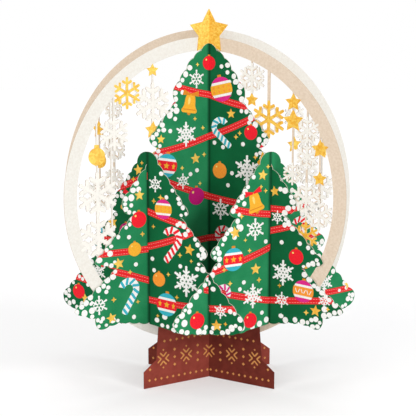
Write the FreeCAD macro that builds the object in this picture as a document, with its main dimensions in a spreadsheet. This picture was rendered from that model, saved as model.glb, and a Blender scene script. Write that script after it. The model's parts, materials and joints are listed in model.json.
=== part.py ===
# Pop-up card: a Christmas tree of folded paper, standing in two paper rings.
#
# Every sheet is one piece of card. Two V-folded sets stand back to back on one upright fold:
# the front set opens toward the viewer (-Y), the back set away from the viewer (+Y). Seen from
# its open side each set is, from front to back, the big tree, then the star above and the trunk
# below, then the ring with its hanging flakes, stars and ball. Two flat small trees cross the
# front arms of the big tree in slots and cross each other at the front corner.
#
# The origin is the middle of the foot of the front trunk's fold; +Z is up, +X is right.
import FreeCAD, Part
import math
import os
import Sketcher

from FreeCAD import Placement, Rotation, Vector

doc = FreeCAD.newDocument("PopUpCard")

# Driving dimensions in millimetres and degrees
DRIVING = {
    # the card and how it stands
    "plan_angle": 30.6,
    "paper": 0.4,
    "fold_lap": 1.0,
    "fold_flat": 0.3,
    "room": 260.0,
    "lobe_radius": 6.0,
    # big tree, from the apex down: reach from the fold and height above the table
    "apex_height": 182.4,
    "shoulder_reach": 9.3,
    "shoulder_height": 174.6,
    "crown_tip_reach": 21.6,
    "crown_tip_height": 156.5,
    "crown_notch_reach": 19.8,
    "crown_notch_height": 151.8,
    "upper_tip_reach": 35.6,
    "upper_tip_height": 133.2,
    "upper_notch_reach": 29.2,
    "upper_notch_height": 129.0,
    "middle_tip_reach": 51.5,
    "middle_tip_height": 102.0,
    "middle_notch_reach": 44.5,
    "middle_notch_height": 95.0,
    "lower_tip_reach": 67.3,
    "lower_tip_height": 72.0,
    "lower_notch_reach": 54.0,
    "lower_notch_height": 68.2,
    "wide_tip_reach": 79.0,
    "wide_tip_height": 47.9,
    "wide_notch_reach": 67.6,
    "wide_notch_height": 43.2,
    "hem_reach": 65.4,
    "hem_height": 36.9,
    "hem_dip_reach": 54.0,
    "hem_dip_height": 39.4,
    "hem_low_reach": 37.0,
    "hem_low_height": 36.4,
    "tree_foot_height": 37.5,
    # small trees
    "small_apex_height": 127.4,
    "small_shoulder_reach": 6.4,
    "small_shoulder_height": 121.2,
    "small_upper_tip_reach": 24.6,
    "small_upper_tip_height": 97.0,
    "small_upper_notch_reach": 19.8,
    "small_upper_notch_height": 94.6,
    "small_lower_tip_reach": 35.9,
    "small_lower_tip_height": 77.2,
    "small_lower_notch_reach": 30.8,
    "small_lower_notch_height": 72.8,
    "small_wide_tip_reach": 57.3,
    "small_wide_tip_height": 44.2,
    "small_hem_reach": 52.4,
    "small_hem_height": 38.2,
    "small_hem_low_reach": 36.0,
    "small_hem_low_height": 36.2,
    "small_foot_reach": 14.0,
    "small_foot_height": 34.2,
    "small_middle_height": 36.0,
    # where the small trees cross the big one, along its arms
    "corner_reach": 36.8,
    "slot_play": 0.15,
    "slot_middle_height": 76.0,
    "slot_ring_height": 43.0,
    "corner_slot_height": 51.0,
    "corner_slot_top": 70.0,
    # star
    "star_centre_height": 188.1,
    "star_point": 11.9,
    "star_waist": 6.5,
    # trunk
    "trunk_foot_reach": 40.3,
    "trunk_foot_height": 9.2,
    "trunk_neck_reach": 32.8,
    "trunk_neck_height": 15.0,
    "trunk_top_reach": 30.2,
    "trunk_top_height": 44.0,
    # rings
    "front_ring_radius": 81.4,
    "front_ring_band": 7.0,
    "front_ring_height": 104.2,
    "front_ring_shift": 2.1,
    "back_ring_radius": 97.2,
    "back_ring_band": 7.0,
    "back_ring_height": 92.5,
    "back_ring_shift": 1.3,
    "back_ring_foot": 23.0,
    # hanging cut-outs
    "string_width": 0.9,
}

sheet = doc.addObject("Spreadsheet::Sheet", "dims")
for row, (alias, value) in enumerate(DRIVING.items(), start=1):
    sheet.set("A%d" % row, alias)
    sheet.set("B%d" % row, str(value))
    sheet.setAlias("B%d" % row, alias)
doc.recompute()


class Size:
    """A length with the expression that gives it from the sheet."""

    def __init__(self, text, value):
        self.text = text
        self.value = value

    def __add__(self, other):
        return Size("(%s + %s)" % (self.text, other.text), self.value + other.value)

    def __sub__(self, other):
        return Size("(%s - %s)" % (self.text, other.text), self.value - other.value)

    def __mul__(self, factor):
        return Size("(%s * %.6g)" % (self.text, factor), self.value * factor)


def size(alias):
    """The named cell as a Size."""
    return Size("dims." + alias, float(sheet.get(alias)))


ZERO = Size("0", 0.0)
PAPER = size("paper")
ANGLE = math.radians(size("plan_angle").value)
# one sheet's step along Y where the sheets nest at the fold
STEP = Size("(dims.paper / cos(dims.plan_angle))", PAPER.value / math.cos(ANGLE))
# the plane where the front and the back set meet
MEETING = STEP * 1.5 - size("fold_flat")


def level(number):
    """Y of the fold of the sheet that lies this many sheets behind the big tree."""
    return STEP * (number - 1.5)


def along(reach):
    """X and Y of a point this far along the right front arm from its fold."""
    x = Size("(%s * cos(dims.plan_angle))" % reach.text, reach.value * math.cos(ANGLE))
    y = Size("(%s * sin(dims.plan_angle))" % reach.text, reach.value * math.sin(ANGLE))
    return x, ZERO - y


def bind(thing, prop, amount):
    """Tie one property to the sheet."""
    thing.setExpression(prop, amount.text)


def place(thing, x, y, z, turned=True):
    """Set a piece down at a point, turned to the right front arm unless told otherwise."""
    angle = size("plan_angle").value if turned else 0.0
    thing.Placement = Placement(
        Vector(x.value, y.value, z.value), Rotation(Vector(0, 0, -1), angle))
    bind(thing, ".Placement.Base.x", x)
    bind(thing, ".Placement.Base.y", y)
    bind(thing, ".Placement.Base.z", z)
    if turned:
        bind(thing, ".Placement.Rotation.Angle", size("plan_angle"))


# Outline helpers: a corner is (reach, height, radius of the edge that leaves it or None)

def scallops(start, end, count, radius):
    """Corners of an edge with that many equal lobes, without its last corner."""
    corners = []
    for number in range(count):
        share = number / count
        reach = start[0] + (end[0] - start[0]) * share if number else start[0]
        height = start[1] + (end[1] - start[1]) * share if number else start[1]
        corners.append((reach, height, radius))
    return corners


def pair(name):
    """Reach and height cells that share a name."""
    return size(name + "_reach"), size(name + "_height")


def arc_between(head, tail, radius):
    """The arc that bulges to the left of the way from head to tail, drawn from tail to head."""
    dx = tail[0] - head[0]
    dy = tail[1] - head[1]
    chord = math.hypot(dx, dy)
    inset = math.sqrt(max(radius * radius - chord * chord / 4.0, 0.0))
    cx = (head[0] + tail[0]) / 2.0 + dy / chord * inset
    cy = (head[1] + tail[1]) / 2.0 - dx / chord * inset
    begin = math.atan2(tail[1] - cy, tail[0] - cx)
    end = math.atan2(head[1] - cy, head[0] - cx)
    if end < begin:
        end += 2.0 * math.pi
    circle = Part.Circle(Vector(cx, cy, 0), Vector(0, 0, 1), radius)
    return Part.ArcOfCircle(circle, begin, end)


def half_sheet(name, corners):
    """A body: one closed outline in the XZ plane, padded by the paper toward +Y."""
    body = doc.addObject("PartDesign::Body", name)
    sketch = body.newObject("Sketcher::SketchObject", name + "_outline")
    planes = [item for item in body.Origin.OriginFeatures if item.Role == "XZ_Plane"]
    sketch.AttachmentSupport = [(planes[0], "")]
    sketch.MapMode = "FlatFace"
    count = len(corners)
    geometry = []
    heads = []
    for number in range(count):
        head = (corners[number][0].value, corners[number][1].value)
        after = corners[(number + 1) % count]
        tail = (after[0].value, after[1].value)
        radius = corners[number][2]
        if radius is None:
            geometry.append(Part.LineSegment(Vector(*head, 0), Vector(*tail, 0)))
            heads.append(1)
        else:
            geometry.append(arc_between(head, tail, radius.value))
            heads.append(2)
    sketch.addGeometry(geometry, False)
    rules = []
    amounts = {}
    for number in range(count):
        after = (number + 1) % count
        rules.append(Sketcher.Constraint(
            "Coincident", number, 3 - heads[number], after, heads[after]))
    for number, (reach, height, radius) in enumerate(corners):
        end = (number, heads[number])
        if reach.value == 0.0:
            rules.append(Sketcher.Constraint("PointOnObject", end[0], end[1], -2))
        elif reach.value > 0.0:
            amounts[len(rules)] = ("reach_%d" % number, reach)
            rules.append(Sketcher.Constraint("DistanceX", -1, 1, end[0], end[1], reach.value))
        else:
            back = ZERO - reach
            amounts[len(rules)] = ("reach_%d" % number, back)
            rules.append(Sketcher.Constraint("DistanceX", end[0], end[1], -1, 1, back.value))
        if height.value == 0.0:
            rules.append(Sketcher.Constraint("PointOnObject", end[0], end[1], -1))
        else:
            amounts[len(rules)] = ("height_%d" % number, height)
            rules.append(Sketcher.Constraint("DistanceY", -1, 1, end[0], end[1], height.value))
        if radius is not None:
            amounts[len(rules)] = ("radius_%d" % number, radius)
            rules.append(Sketcher.Constraint("Radius", number, radius.value))
    sketch.addConstraint(rules)
    for index, (title, amount) in amounts.items():
        sketch.renameConstraint(index, title)
        sketch.setExpression("Constraints." + title, amount.text)
    pad = body.newObject("PartDesign::Pad", name + "_pad")
    pad.Profile = sketch
    pad.Reversed = True
    bind(pad, "Length", PAPER)
    return body


def block(name, corner, spans, turned=False):
    """A box from its low corner and its three spans."""
    box = doc.addObject("Part::Box", name)
    for prop, span in zip(("Length", "Width", "Height"), spans):
        setattr(box, prop, span.value)
        bind(box, prop, span)
    place(box, corner[0], corner[1], corner[2], turned)
    return box


def cut(name, base, tools):
    """Base less each tool in turn."""
    for number, tool in enumerate(tools):
        last = number == len(tools) - 1
        result = doc.addObject("Part::Cut", name if last else "%s_cut_%d" % (name, number))
        result.Base = base
        result.Tool = tool
        base = result
    return base


def mirror(name, source, normal, y=ZERO):
    """The mirror image of a piece across an upright plane."""
    result = doc.addObject("Part::Mirroring", name)
    result.Source = source
    result.Normal = normal
    result.Base = Vector(0, y.value, 0)
    bind(result, ".Base.y", y)
    return result


ROOM = size("room")
# The half space right of the fold and in front of the meeting plane
keep = block("keep", (ZERO, MEETING - ROOM, ZERO - PAPER), (ROOM, ROOM, ROOM))


def folded(name, right, left=None):
    """Right and left halves mitred at the fold and joined as one folded sheet."""
    halves = []
    for side, half in (("right", right), ("left", left)):
        if half is None:
            half_kept = halves[0]
        else:
            half_kept = doc.addObject("Part::Common", "%s_%s_kept" % (name, side))
            half_kept.Base = half
            half_kept.Tool = keep
        halves.append(half_kept)
    other = mirror(name + "_other", halves[1], Vector(1, 0, 0))
    joined = doc.addObject("Part::Fuse", name)
    joined.Base = halves[0]
    joined.Tool = other
    joined.Refine = True
    return joined


def arm_sheet(name, corners, number):
    """A half sheet turned to the right front arm, that many sheets behind the big tree."""
    body = half_sheet(name, corners)
    place(body, ZERO, level(number), ZERO)
    return body


def back_of(name, front):
    """The same sheet in the back set."""
    return mirror(name, front, Vector(0, 1, 0), MEETING)


LAP = ZERO - size("fold_lap")
LOBE = size("lobe_radius")

# Big tree: five tiers of scalloped branches
TIERS = (
    ("shoulder", 2),
    ("crown_tip", 3),
    ("crown_notch", 1),
    ("upper_tip", 4),
    ("upper_notch", 1),
    ("middle_tip", 5),
    ("middle_notch", 1),
    ("lower_tip", 5),
    ("lower_notch", 2),
    ("wide_tip", 5),
    ("wide_notch", 2),
    ("hem", 1),
    ("hem_dip", 2),
    ("hem_low", 3),
)


def tree_corners(apex, tiers, foot):
    """Half outline of a tree, from the apex down to the foot at the fold."""
    corners = [(LAP, apex, None)]
    start = (ZERO, apex)
    for name, count in tiers:
        end = pair(name)
        corners += scallops(start, end, count, LOBE)
        start = end
    corners.append((start[0], start[1], None))
    corners.append((LAP, foot, None))
    return corners


big_half = arm_sheet(
    "big_half", tree_corners(size("apex_height"), TIERS, size("tree_foot_height")), 0)
big_tree = folded("big_tree", big_half)
tree_back = back_of("tree_back", big_tree)

# Star: five equal points, the top one on the fold
centre = size("star_centre_height")
point = size("star_point")
waist = size("star_waist")


def star_corner(radius, degrees):
    """A corner of the star at an angle from its top point."""
    turn = math.radians(degrees)
    return radius * math.sin(turn), centre + radius * math.cos(turn), None


star_corners = [(LAP, centre + point, None), (ZERO, centre + point, None)]
star_corners += [star_corner(waist, 36), star_corner(point, 72), star_corner(waist, 108)]
star_corners += [star_corner(point, 144), (ZERO, centre - waist, None)]
star_corners += [(LAP, centre - waist, None)]
star_half = arm_sheet("star_half", star_corners, 1)
star_front = folded("star_front", star_half)
star_back = back_of("star_back", star_front)

# Trunk: straight sides on a wider foot
trunk_corners = [(LAP, size("trunk_top_height"), None)]
trunk_corners += [pair("trunk_top") + (None,), pair("trunk_neck") + (None,)]
trunk_corners += [pair("trunk_foot") + (None,)]
trunk_corners += [(size("trunk_foot_reach"), ZERO, None), (LAP, ZERO, None)]
trunk_half = arm_sheet("trunk_half", trunk_corners, 1)
trunk_front = folded("trunk_front", trunk_half)
trunk_back = back_of("trunk_back", trunk_front)

# Small trees: one flat blank, lobed like the big tree
SMALL_TIERS = (
    ("small_shoulder", 1),
    ("small_upper_tip", 5),
    ("small_upper_notch", 1),
    ("small_lower_tip", 4),
    ("small_lower_notch", 1),
    ("small_wide_tip", 6),
    ("small_hem", 1),
    ("small_hem_low", 3),
    ("small_foot", 3),
)
small_corners = tree_corners(
    size("small_apex_height"), SMALL_TIERS, size("small_middle_height"))
small_half = half_sheet("small_half", small_corners)
small_other = mirror("small_other", small_half, Vector(1, 0, 0))
small_blank = doc.addObject("Part::Fuse", "small_blank")
small_blank.Base = small_half
small_blank.Tool = small_other
small_blank.Refine = True

# Slots: the sheets cross at twice the plan angle
PLAY = size("slot_play")
CROSS = "sin(2 * dims.plan_angle)"
SLANT = Size("(dims.paper / %s)" % CROSS, PAPER.value / math.sin(2 * ANGLE))
LEAN = Size("(0.5 * dims.paper / tan(2 * dims.plan_angle))",
            0.5 * PAPER.value / math.tan(2 * ANGLE))
SIDE = LEAN + PLAY
LOW = PAPER * -2.0
DEPTH = PAPER * 6.0
CORNER = size("corner_reach")
middle = size("slot_middle_height")
ring_slot_top = size("slot_ring_height")
corner_middle = size("corner_slot_height")
corner_top = size("corner_slot_top")

tree_slot = block(
    "tree_slot", (ZERO - SLANT - SIDE, LOW, ZERO), (SLANT + SIDE * 2.0, DEPTH, middle))
ring_slot = block(
    "ring_slot", (ZERO - SLANT * 3.0 - SIDE, LOW, ZERO),
    (SLANT * 3.0 + SIDE * 2.0, DEPTH, ring_slot_top))
corner_start = CORNER - SLANT * 0.5 - SIDE
low_slot = block(
    "low_slot", (corner_start, LOW, ZERO), (SLANT + SIDE * 2.0, DEPTH, corner_middle))
high_slot = block(
    "high_slot", (corner_start, LOW, corner_middle),
    (SLANT + SIDE * 2.0, DEPTH, corner_top - corner_middle))

out_x, out_y = along(CORNER)
cross_x = ZERO - out_x
cross_y = level(0) + out_y
lean_x = Size("(dims.paper * 0.5 * sin(dims.plan_angle))", PAPER.value * 0.5 * math.sin(ANGLE))
lean_y = Size("(dims.paper * 0.5 * cos(dims.plan_angle))", PAPER.value * 0.5 * math.cos(ANGLE))

left_tree = cut("left_tree", small_blank, [tree_slot, ring_slot, low_slot])
place(left_tree, cross_x - lean_x, cross_y - lean_y, ZERO)
right_source = cut("right_source", small_blank, [tree_slot, ring_slot, high_slot])
place(right_source, cross_x - lean_x, cross_y - lean_y, ZERO)
right_tree = mirror("right_tree", right_source, Vector(1, 0, 0))

# The big front tree is open from its edge down to the middle where each small tree crosses it
slot_width = PAPER + PLAY * 2.0
slot_x = Size("(%s * sin(dims.plan_angle))" % slot_width.text,
              slot_width.value * math.sin(ANGLE))
slot_y = Size("(%s * cos(dims.plan_angle))" % slot_width.text,
              slot_width.value * math.cos(ANGLE))
reach_x, reach_y = along(PAPER * 4.0)
left_slot = block(
    "left_slot",
    (cross_x - reach_x - slot_x * 0.5, cross_y - reach_y - slot_y * 0.5, middle),
    (PAPER * 8.0, slot_width, middle), True)
right_slot = mirror("right_slot", left_slot, Vector(1, 0, 0))
tree_front = cut("tree_front", big_tree, [left_slot, right_slot])


# Rings: a round band whose middle lies a little left of the fold

def disc(name, shift, height, radius):
    """A flat disc of one sheet, standing in the XZ plane."""
    item = doc.addObject("Part::Cylinder", name)
    item.Radius = radius.value
    item.Height = PAPER.value
    bind(item, "Radius", radius)
    bind(item, "Height", PAPER)
    item.Placement = Placement(
        Vector(shift.value, 0, height.value), Rotation(Vector(1, 0, 0), -90))
    bind(item, ".Placement.Base.x", shift)
    bind(item, ".Placement.Base.z", height)
    return item


def band(name, shift, height, radius, width, foot=None):
    """The ring's band on one arm; with a foot it is closed by a straight bar there."""
    outer = disc(name + "_outer", shift, height, radius)
    inner = disc(name + "_inner", shift, height, radius - width)
    if foot is None:
        return cut(name, outer, [inner])
    low = ZERO - PAPER
    span = (ROOM * 2.0, DEPTH)
    under = block(name + "_under", (ZERO - ROOM, LOW, low), span + (foot - low,))
    bar = block(name + "_bar", (ZERO - ROOM, LOW, low), span + (foot + width - low,))
    hole = cut(name + "_hole", inner, [bar])
    return cut(name, outer, [hole, under])


# Hanging cut-outs. Each column is (reach of its string, string widths, pieces from the top down),
# each piece (kind, height of its middle, radius).

def prism(points):
    """A flat piece of one sheet from its corners in reach and height."""
    wire = Part.makePolygon([Vector(x, 0, z) for x, z in points + points[:1]])
    return Part.Face(wire).extrude(Vector(0, PAPER.value, 0))


def flake(reach, height, radius):
    """A six-armed flake, each arm with a pair of side branches."""
    half_width = 0.075 * radius
    branch = 0.30 * radius
    lean = (branch * math.cos(math.radians(60)), branch * math.sin(math.radians(60)))
    first = 0.46 * radius
    second = 0.64 * radius
    side = [
        (first, half_width),
        (first + lean[0], half_width + lean[1]),
        (second + lean[0], half_width + lean[1]),
        (second, half_width),
        (radius, half_width),
    ]
    points = []
    for arm in range(6):
        turn = math.radians(90 + 60 * arm)
        gap = turn - math.radians(30)
        points.append((reach + 0.2 * radius * math.cos(gap), height + 0.2 * radius * math.sin(gap)))
        for a, b in [(a, -b) for a, b in side] + side[::-1]:
            points.append((
                reach + a * math.cos(turn) - b * math.sin(turn),
                height + a * math.sin(turn) + b * math.cos(turn)))
    return prism(points)


def star(reach, height, radius):
    """A five-pointed star."""
    points = []
    for number in range(10):
        turn = math.radians(90 + 36 * number)
        span = radius if number % 2 == 0 else 0.5 * radius
        points.append((reach + span * math.cos(turn), height + span * math.sin(turn)))
    return prism(points)


def ball(reach, height, radius):
    """A round ball with a small cap."""
    round_part = Part.makeCylinder(
        radius, PAPER.value, Vector(reach, 0, height), Vector(0, 1, 0))
    cap = prism([
        (reach - 0.25 * radius, height + 0.8 * radius), (reach + 0.25 * radius, height + 0.8 * radius),
        (reach + 0.25 * radius, height + 1.3 * radius), (reach - 0.25 * radius, height + 1.3 * radius)])
    return round_part.fuse(cap)


CUTOUTS = {"flake": flake, "star": star, "ball": ball}


def hanging(name, columns, shift, height, radius):
    """All the cut-outs of one arm, each on a string from the band's inner edge."""
    pieces = []
    for reach, width, items in columns:
        top = height.value + math.sqrt(
            (radius.value + 2.0) ** 2 - (reach - shift.value) ** 2)
        low = min(item[1] for item in items)
        half = 0.5 * width * size("string_width").value
        pieces.append(prism([
            (reach - half, low), (reach + half, low), (reach + half, top), (reach - half, top)]))
        for kind, middle_height, span in items:
            pieces.append(CUTOUTS[kind](reach, middle_height, span))
    feature = doc.addObject("Part::Feature", name)
    feature.Shape = pieces[0].multiFuse(pieces[1:]).removeSplitter()
    return feature


FRONT_LEFT = (
    (33.4, 1.0, (("star", 168.8, 3.4), ("flake", 151.9, 10.2), ("star", 138.3, 4.6))),
    (48.0, 1.0, (("flake", 157.6, 7.8),)),
    (55.5, 1.0, (("flake", 137.6, 8.4),)),
    (65.2, 1.0, (("ball", 126.4, 4.4), ("flake", 107.0, 11.0), ("flake", 84.5, 10.6))),
    (57.4, 1.0, (("star", 73.2, 4.0),)),
)
FRONT_RIGHT = (
    (25.6, 1.0, (("flake", 164.6, 7.6), ("star", 153.5, 3.6))),
    (35.5, 1.8, (("flake", 143.8, 9.4),)),
    (49.4, 1.0, (("star", 153.0, 4.6), ("star", 143.6, 5.8), ("flake", 116.6, 5.6))),
    (57.4, 1.0, (("flake", 139.0, 6.8), ("flake", 126.0, 6.4), ("flake", 104.0, 8.4),
                 ("flake", 85.2, 7.0))),
    (64.6, 1.0, (("star", 130.0, 4.8), ("star", 115.0, 3.8), ("flake", 96.6, 7.6))),
)
BACK_LEFT = (
    (62.4, 1.6, (("flake", 146.0, 6.4), ("flake", 124.0, 8.2), ("flake", 106.0, 6.8))),
    (72.6, 1.0, (("star", 133.6, 5.0), ("ball", 116.0, 4.4), ("flake", 96.6, 8.2))),
)
BACK_RIGHT = (
    (55.4, 1.0, (("flake", 142.0, 7.0), ("star", 126.0, 4.6))),
    (64.8, 1.4, (("flake", 128.0, 6.2), ("flake", 110.0, 8.0), ("flake", 88.0, 6.2))),
    (75.4, 1.0, (("star", 122.0, 4.4), ("flake", 100.0, 8.6))),
)


def ring_half(name, columns, shift, prefix, foot=None):
    """Band and cut-outs of one arm, turned to the right front arm."""
    height = size(prefix + "_ring_height")
    radius = size(prefix + "_ring_radius")
    width = size(prefix + "_ring_band")
    hoop = band(name + "_band", shift, height, radius, width, foot)
    lace = hanging(name + "_lace", columns, shift, height, radius - width)
    half = doc.addObject("Part::Fuse", name)
    half.Base = hoop
    half.Tool = lace
    half.Refine = True
    place(half, ZERO, level(2), ZERO)
    return half


front_shift = size("front_ring_shift")
ring_front = folded(
    "ring_front",
    ring_half("front_right", FRONT_RIGHT, ZERO - front_shift, "front"),
    ring_half("front_left", FRONT_LEFT, front_shift, "front"))

back_shift = size("back_ring_shift")
back_foot = size("back_ring_foot")
ring_source = folded(
    "ring_source",
    ring_half("back_right", BACK_RIGHT, ZERO - back_shift, "back", back_foot),
    ring_half("back_left", BACK_LEFT, back_shift, "back", back_foot))
ring_back = back_of("ring_back", ring_source)

doc.recompute()

# Check every feature, then write each finished sheet
SHEETS = (
    tree_front, tree_back, ring_front, ring_back, star_front, star_back,
    trunk_front, trunk_back, left_tree, right_tree,
)
for item in doc.Objects:
    if "Invalid" in item.State or "Error" in item.State:
        raise RuntimeError("feature failed: " + item.Name)
os.makedirs("parts", exist_ok=True)
for item in SHEETS:
    item.Label = item.Name
    shape = item.Shape
    if shape.isNull() or not shape.isValid() or len(shape.Solids) != 1:
        raise RuntimeError("bad solid: %s, %d solids" % (item.Label, len(shape.Solids)))
    shape.exportStep("parts/%s.step" % item.Label)
    box = shape.BoundBox
    print("%s volume %.0f mm3, box %.1f %.1f %.1f to %.1f %.1f %.1f" % (
        item.Label, shape.Volume, box.XMin, box.YMin, box.ZMin, box.XMax, box.YMax, box.ZMax))
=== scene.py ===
import json
import math
import random

import bmesh
import bpy
from mathutils import Matrix, Vector

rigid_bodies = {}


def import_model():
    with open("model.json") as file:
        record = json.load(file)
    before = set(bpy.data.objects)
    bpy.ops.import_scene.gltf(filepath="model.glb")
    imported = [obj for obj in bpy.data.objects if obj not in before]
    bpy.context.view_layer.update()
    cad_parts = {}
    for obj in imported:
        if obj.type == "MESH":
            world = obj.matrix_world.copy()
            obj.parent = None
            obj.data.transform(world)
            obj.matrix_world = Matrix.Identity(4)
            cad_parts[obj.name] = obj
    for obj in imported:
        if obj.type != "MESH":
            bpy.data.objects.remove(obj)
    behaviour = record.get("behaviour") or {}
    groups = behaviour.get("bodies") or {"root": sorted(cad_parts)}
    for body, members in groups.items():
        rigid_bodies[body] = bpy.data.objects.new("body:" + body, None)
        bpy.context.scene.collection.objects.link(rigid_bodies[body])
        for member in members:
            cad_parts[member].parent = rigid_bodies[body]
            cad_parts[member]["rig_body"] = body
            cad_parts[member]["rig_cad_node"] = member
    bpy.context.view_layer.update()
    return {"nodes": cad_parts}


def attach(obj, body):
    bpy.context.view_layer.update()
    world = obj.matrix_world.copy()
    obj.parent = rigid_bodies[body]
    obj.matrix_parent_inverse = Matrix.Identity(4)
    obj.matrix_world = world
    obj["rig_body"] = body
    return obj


bl_info = {
    "name": "Pop-up tree card",
    "version": (1, 0, 0),
    "blender": (4, 5, 0),
    "location": "View3D > Sidebar > Card",
    "description": "Prints, foils and papers of a pop-up Christmas tree card",
    "category": "Object",
}

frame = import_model()

MM = 0.001
QUARTER = math.pi / 2


# Selecting and editing

def only(*things):
    """Select these objects alone, the first one active."""
    bpy.ops.object.select_all(action="DESELECT")
    for thing in things:
        thing.select_set(True)
    bpy.context.view_layer.objects.active = things[0]


def edit(thing, mode="FACE"):
    """Open one mesh for editing with all of it selected."""
    only(thing)
    bpy.ops.object.mode_set(mode="EDIT")
    bpy.ops.mesh.select_mode(type=mode)
    bpy.ops.mesh.select_all(action="SELECT")


def leave():
    """Go back to object mode."""
    bpy.ops.object.mode_set(mode="OBJECT")


def pick(thing, kind, test):
    """In edit mode, select the faces, edges or verts that pass the test."""
    mesh = bmesh.from_edit_mesh(thing.data)
    for group in (mesh.faces, mesh.edges, mesh.verts):
        for item in group:
            item.select = False
    for item in getattr(mesh, kind):
        if test(item):
            item.select_set(True)
    mesh.select_flush_mode()
    bmesh.update_edit_mesh(thing.data)


def settle(thing, name):
    """Name an object and put its place, turn and size into its mesh."""
    only(thing)
    bpy.ops.object.transform_apply(location=True, rotation=True, scale=True)
    thing.name = name
    return thing


def thicken(thing, depth=1.0):
    """Give a flat panel its thickness, half to each side."""
    only(thing)
    wall = thing.modifiers.new("wall", "SOLIDIFY")
    wall.thickness = depth
    wall.offset = 0.0
    bpy.ops.object.modifier_apply(modifier="wall")
    edit(thing)
    bpy.ops.mesh.normals_make_consistent(inside=False)
    leave()
    return thing


def join(things, name):
    """Join several meshes as one piece."""
    only(*things)
    if len(things) > 1:
        bpy.ops.object.join()
    whole = bpy.context.view_layer.objects.active
    whole.name = name
    whole.data.name = name
    return whole


def twin(thing):
    """A copy with its own mesh."""
    copy = thing.copy()
    copy.data = thing.data.copy()
    bpy.context.scene.collection.objects.link(copy)
    return copy


# Sizes and colours that a user would change

def length(name, description, default):
    """A size in metres."""
    return bpy.props.FloatProperty(
        name=name, description=description, default=default, unit="LENGTH", precision=5)


def colour(name, description, red, green, blue):
    """A colour given as 0-255 values, kept as Blender's linear ones."""
    linear = []
    for level in (red, green, blue):
        share = level / 255
        linear.append(share / 12.92 if share <= 0.04045 else ((share + 0.055) / 1.055) ** 2.4)
    return bpy.props.FloatVectorProperty(
        name=name, description=description, default=linear, subtype="COLOR", size=3,
        min=0.0, max=1.0)


class CardSizes(bpy.types.PropertyGroup):
    """Sizes of the folded card and its prints."""

    card: length("Card", "Thickness of the card", 0.4 * MM)
    fold_flat: length("Fold flat", "How far the fold is rubbed flat where the sets meet", 0.3 * MM)
    crossing: length("Crossing", "From the fold to where the small trees cross", 36.8 * MM)
    turn: bpy.props.FloatProperty(
        name="Turn", description="Angle of each arm from the card's width",
        default=math.radians(30.6), subtype="ANGLE")
    layer: length("Layer", "Height of one printed layer", 0.015 * MM)
    first_layer: length("First layer", "Height of the lowest print", 0.03 * MM)
    ribbon: length("Ribbon", "Width of a printed ribbon", 3.5 * MM)
    snow_small: length("Small snow", "Smallest lump of snow", 1.9 * MM)
    snow_large: length("Large snow", "Largest lump of snow", 3.5 * MM)
    snow_dot: length("Snow dot", "Loose dot of snow", 2.3 * MM)
    spark: length("Spark", "Small gold spark", 2.7 * MM)


class CardColours(bpy.types.PropertyGroup):
    """Colours of the card's papers and inks."""

    leaf: colour("Leaf", "Green of the trees", 44, 142, 92)
    leaf_deep: colour("Deep leaf", "Darker green of the trees", 26, 124, 76)
    # painted shade: shade_leaf and shade_deep are darker copies of the leaf greens, for the arms
    # turned from the lamp
    shade_leaf: colour("Shade leaf", "Green of the arms turned from the light", 10, 104, 60)
    shade_deep: colour("Deep shade leaf", "Darker green of those arms", 4, 88, 49)
    cut_edge: colour("Cut edge", "Bare card where it is cut", 226, 220, 208)
    ring_edge: colour("Ring edge", "Singed edge of the rings", 206, 184, 158)
    cream: colour("Cream", "Card of the rings", 240, 238, 231)
    cream_deep: colour("Deep cream", "Darker grain of the rings", 231, 227, 218)
    # painted shade: darker, warmer copies of the cream, for the ring arms turned from the lamp
    shade_cream: colour("Shade cream", "Card of the ring arms turned away", 234, 217, 198)
    shade_cream_deep: colour("Deep shade cream", "Darker grain of those arms", 221, 201, 178)
    lace: colour("Lace", "Whitened flakes that hang in the rings", 250, 246, 238)
    # partly real singed edge and partly painted shade: darker than the rings' edge, to stand for
    # the shadows in the flakes' cuts
    singed_and_shaded_lace_edge: colour("Lace edge", "Singed edge of those flakes", 176, 146, 112)
    bark: colour("Bark", "Brown of the trunk", 156, 71, 59)
    bark_deep: colour("Deep bark", "Darker brown of the trunk", 138, 59, 48)
    # painted shade: darker copies of the bark, for the trunk arms turned from the lamp
    shade_bark: colour("Shade bark", "Brown of the arms turned from the light", 124, 52, 41)
    shade_bark_deep: colour("Deep shade bark", "Darker brown of those arms", 102, 40, 31)
    knit: colour("Knit", "Gold pattern of the trunk", 222, 154, 88)
    white: colour("White", "White ink", 250, 249, 246)
    red: colour("Red", "Red ink of the ribbons", 232, 36, 42)
    stitch: colour("Stitch", "Pale stitches on the ribbons", 255, 148, 140)
    scarlet: colour("Scarlet", "Red of the baubles", 244, 32, 48)
    orange: colour("Orange", "Orange of the baubles", 255, 156, 54)
    magenta: colour("Magenta", "Magenta of the baubles", 196, 24, 120)
    pink: colour("Pink", "Pink bands", 226, 44, 140)
    teal: colour("Teal", "Teal bands", 58, 182, 200)
    gold: colour("Gold", "Gold ink", 250, 182, 52)
    amber: colour("Amber", "Darker gold ink", 226, 140, 40)
    glow: colour("Glow", "Light spot on a bauble", 255, 220, 120)
    foil: colour("Foil", "Gold foil", 255, 224, 112)
    foil_deep: colour("Deep foil", "Darker gold foil", 234, 168, 50)


def sizes():
    """The card's sizes, as kept in the scene."""
    return bpy.context.scene.card_sizes


def ink_of(name):
    """One of the colours, with an alpha of 1."""
    return (*getattr(bpy.context.scene.card_colours, name), 1.0)


# Materials

# Specular level of all the finishes, which hardly shine
CARD_SHEEN = 0.12
# Above this share a face lies square to a direction
SQUARE = 0.94
# How far the painted shade of a fold spreads
FOLD_SHADE_SPREAD = 1.4 * MM


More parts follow.
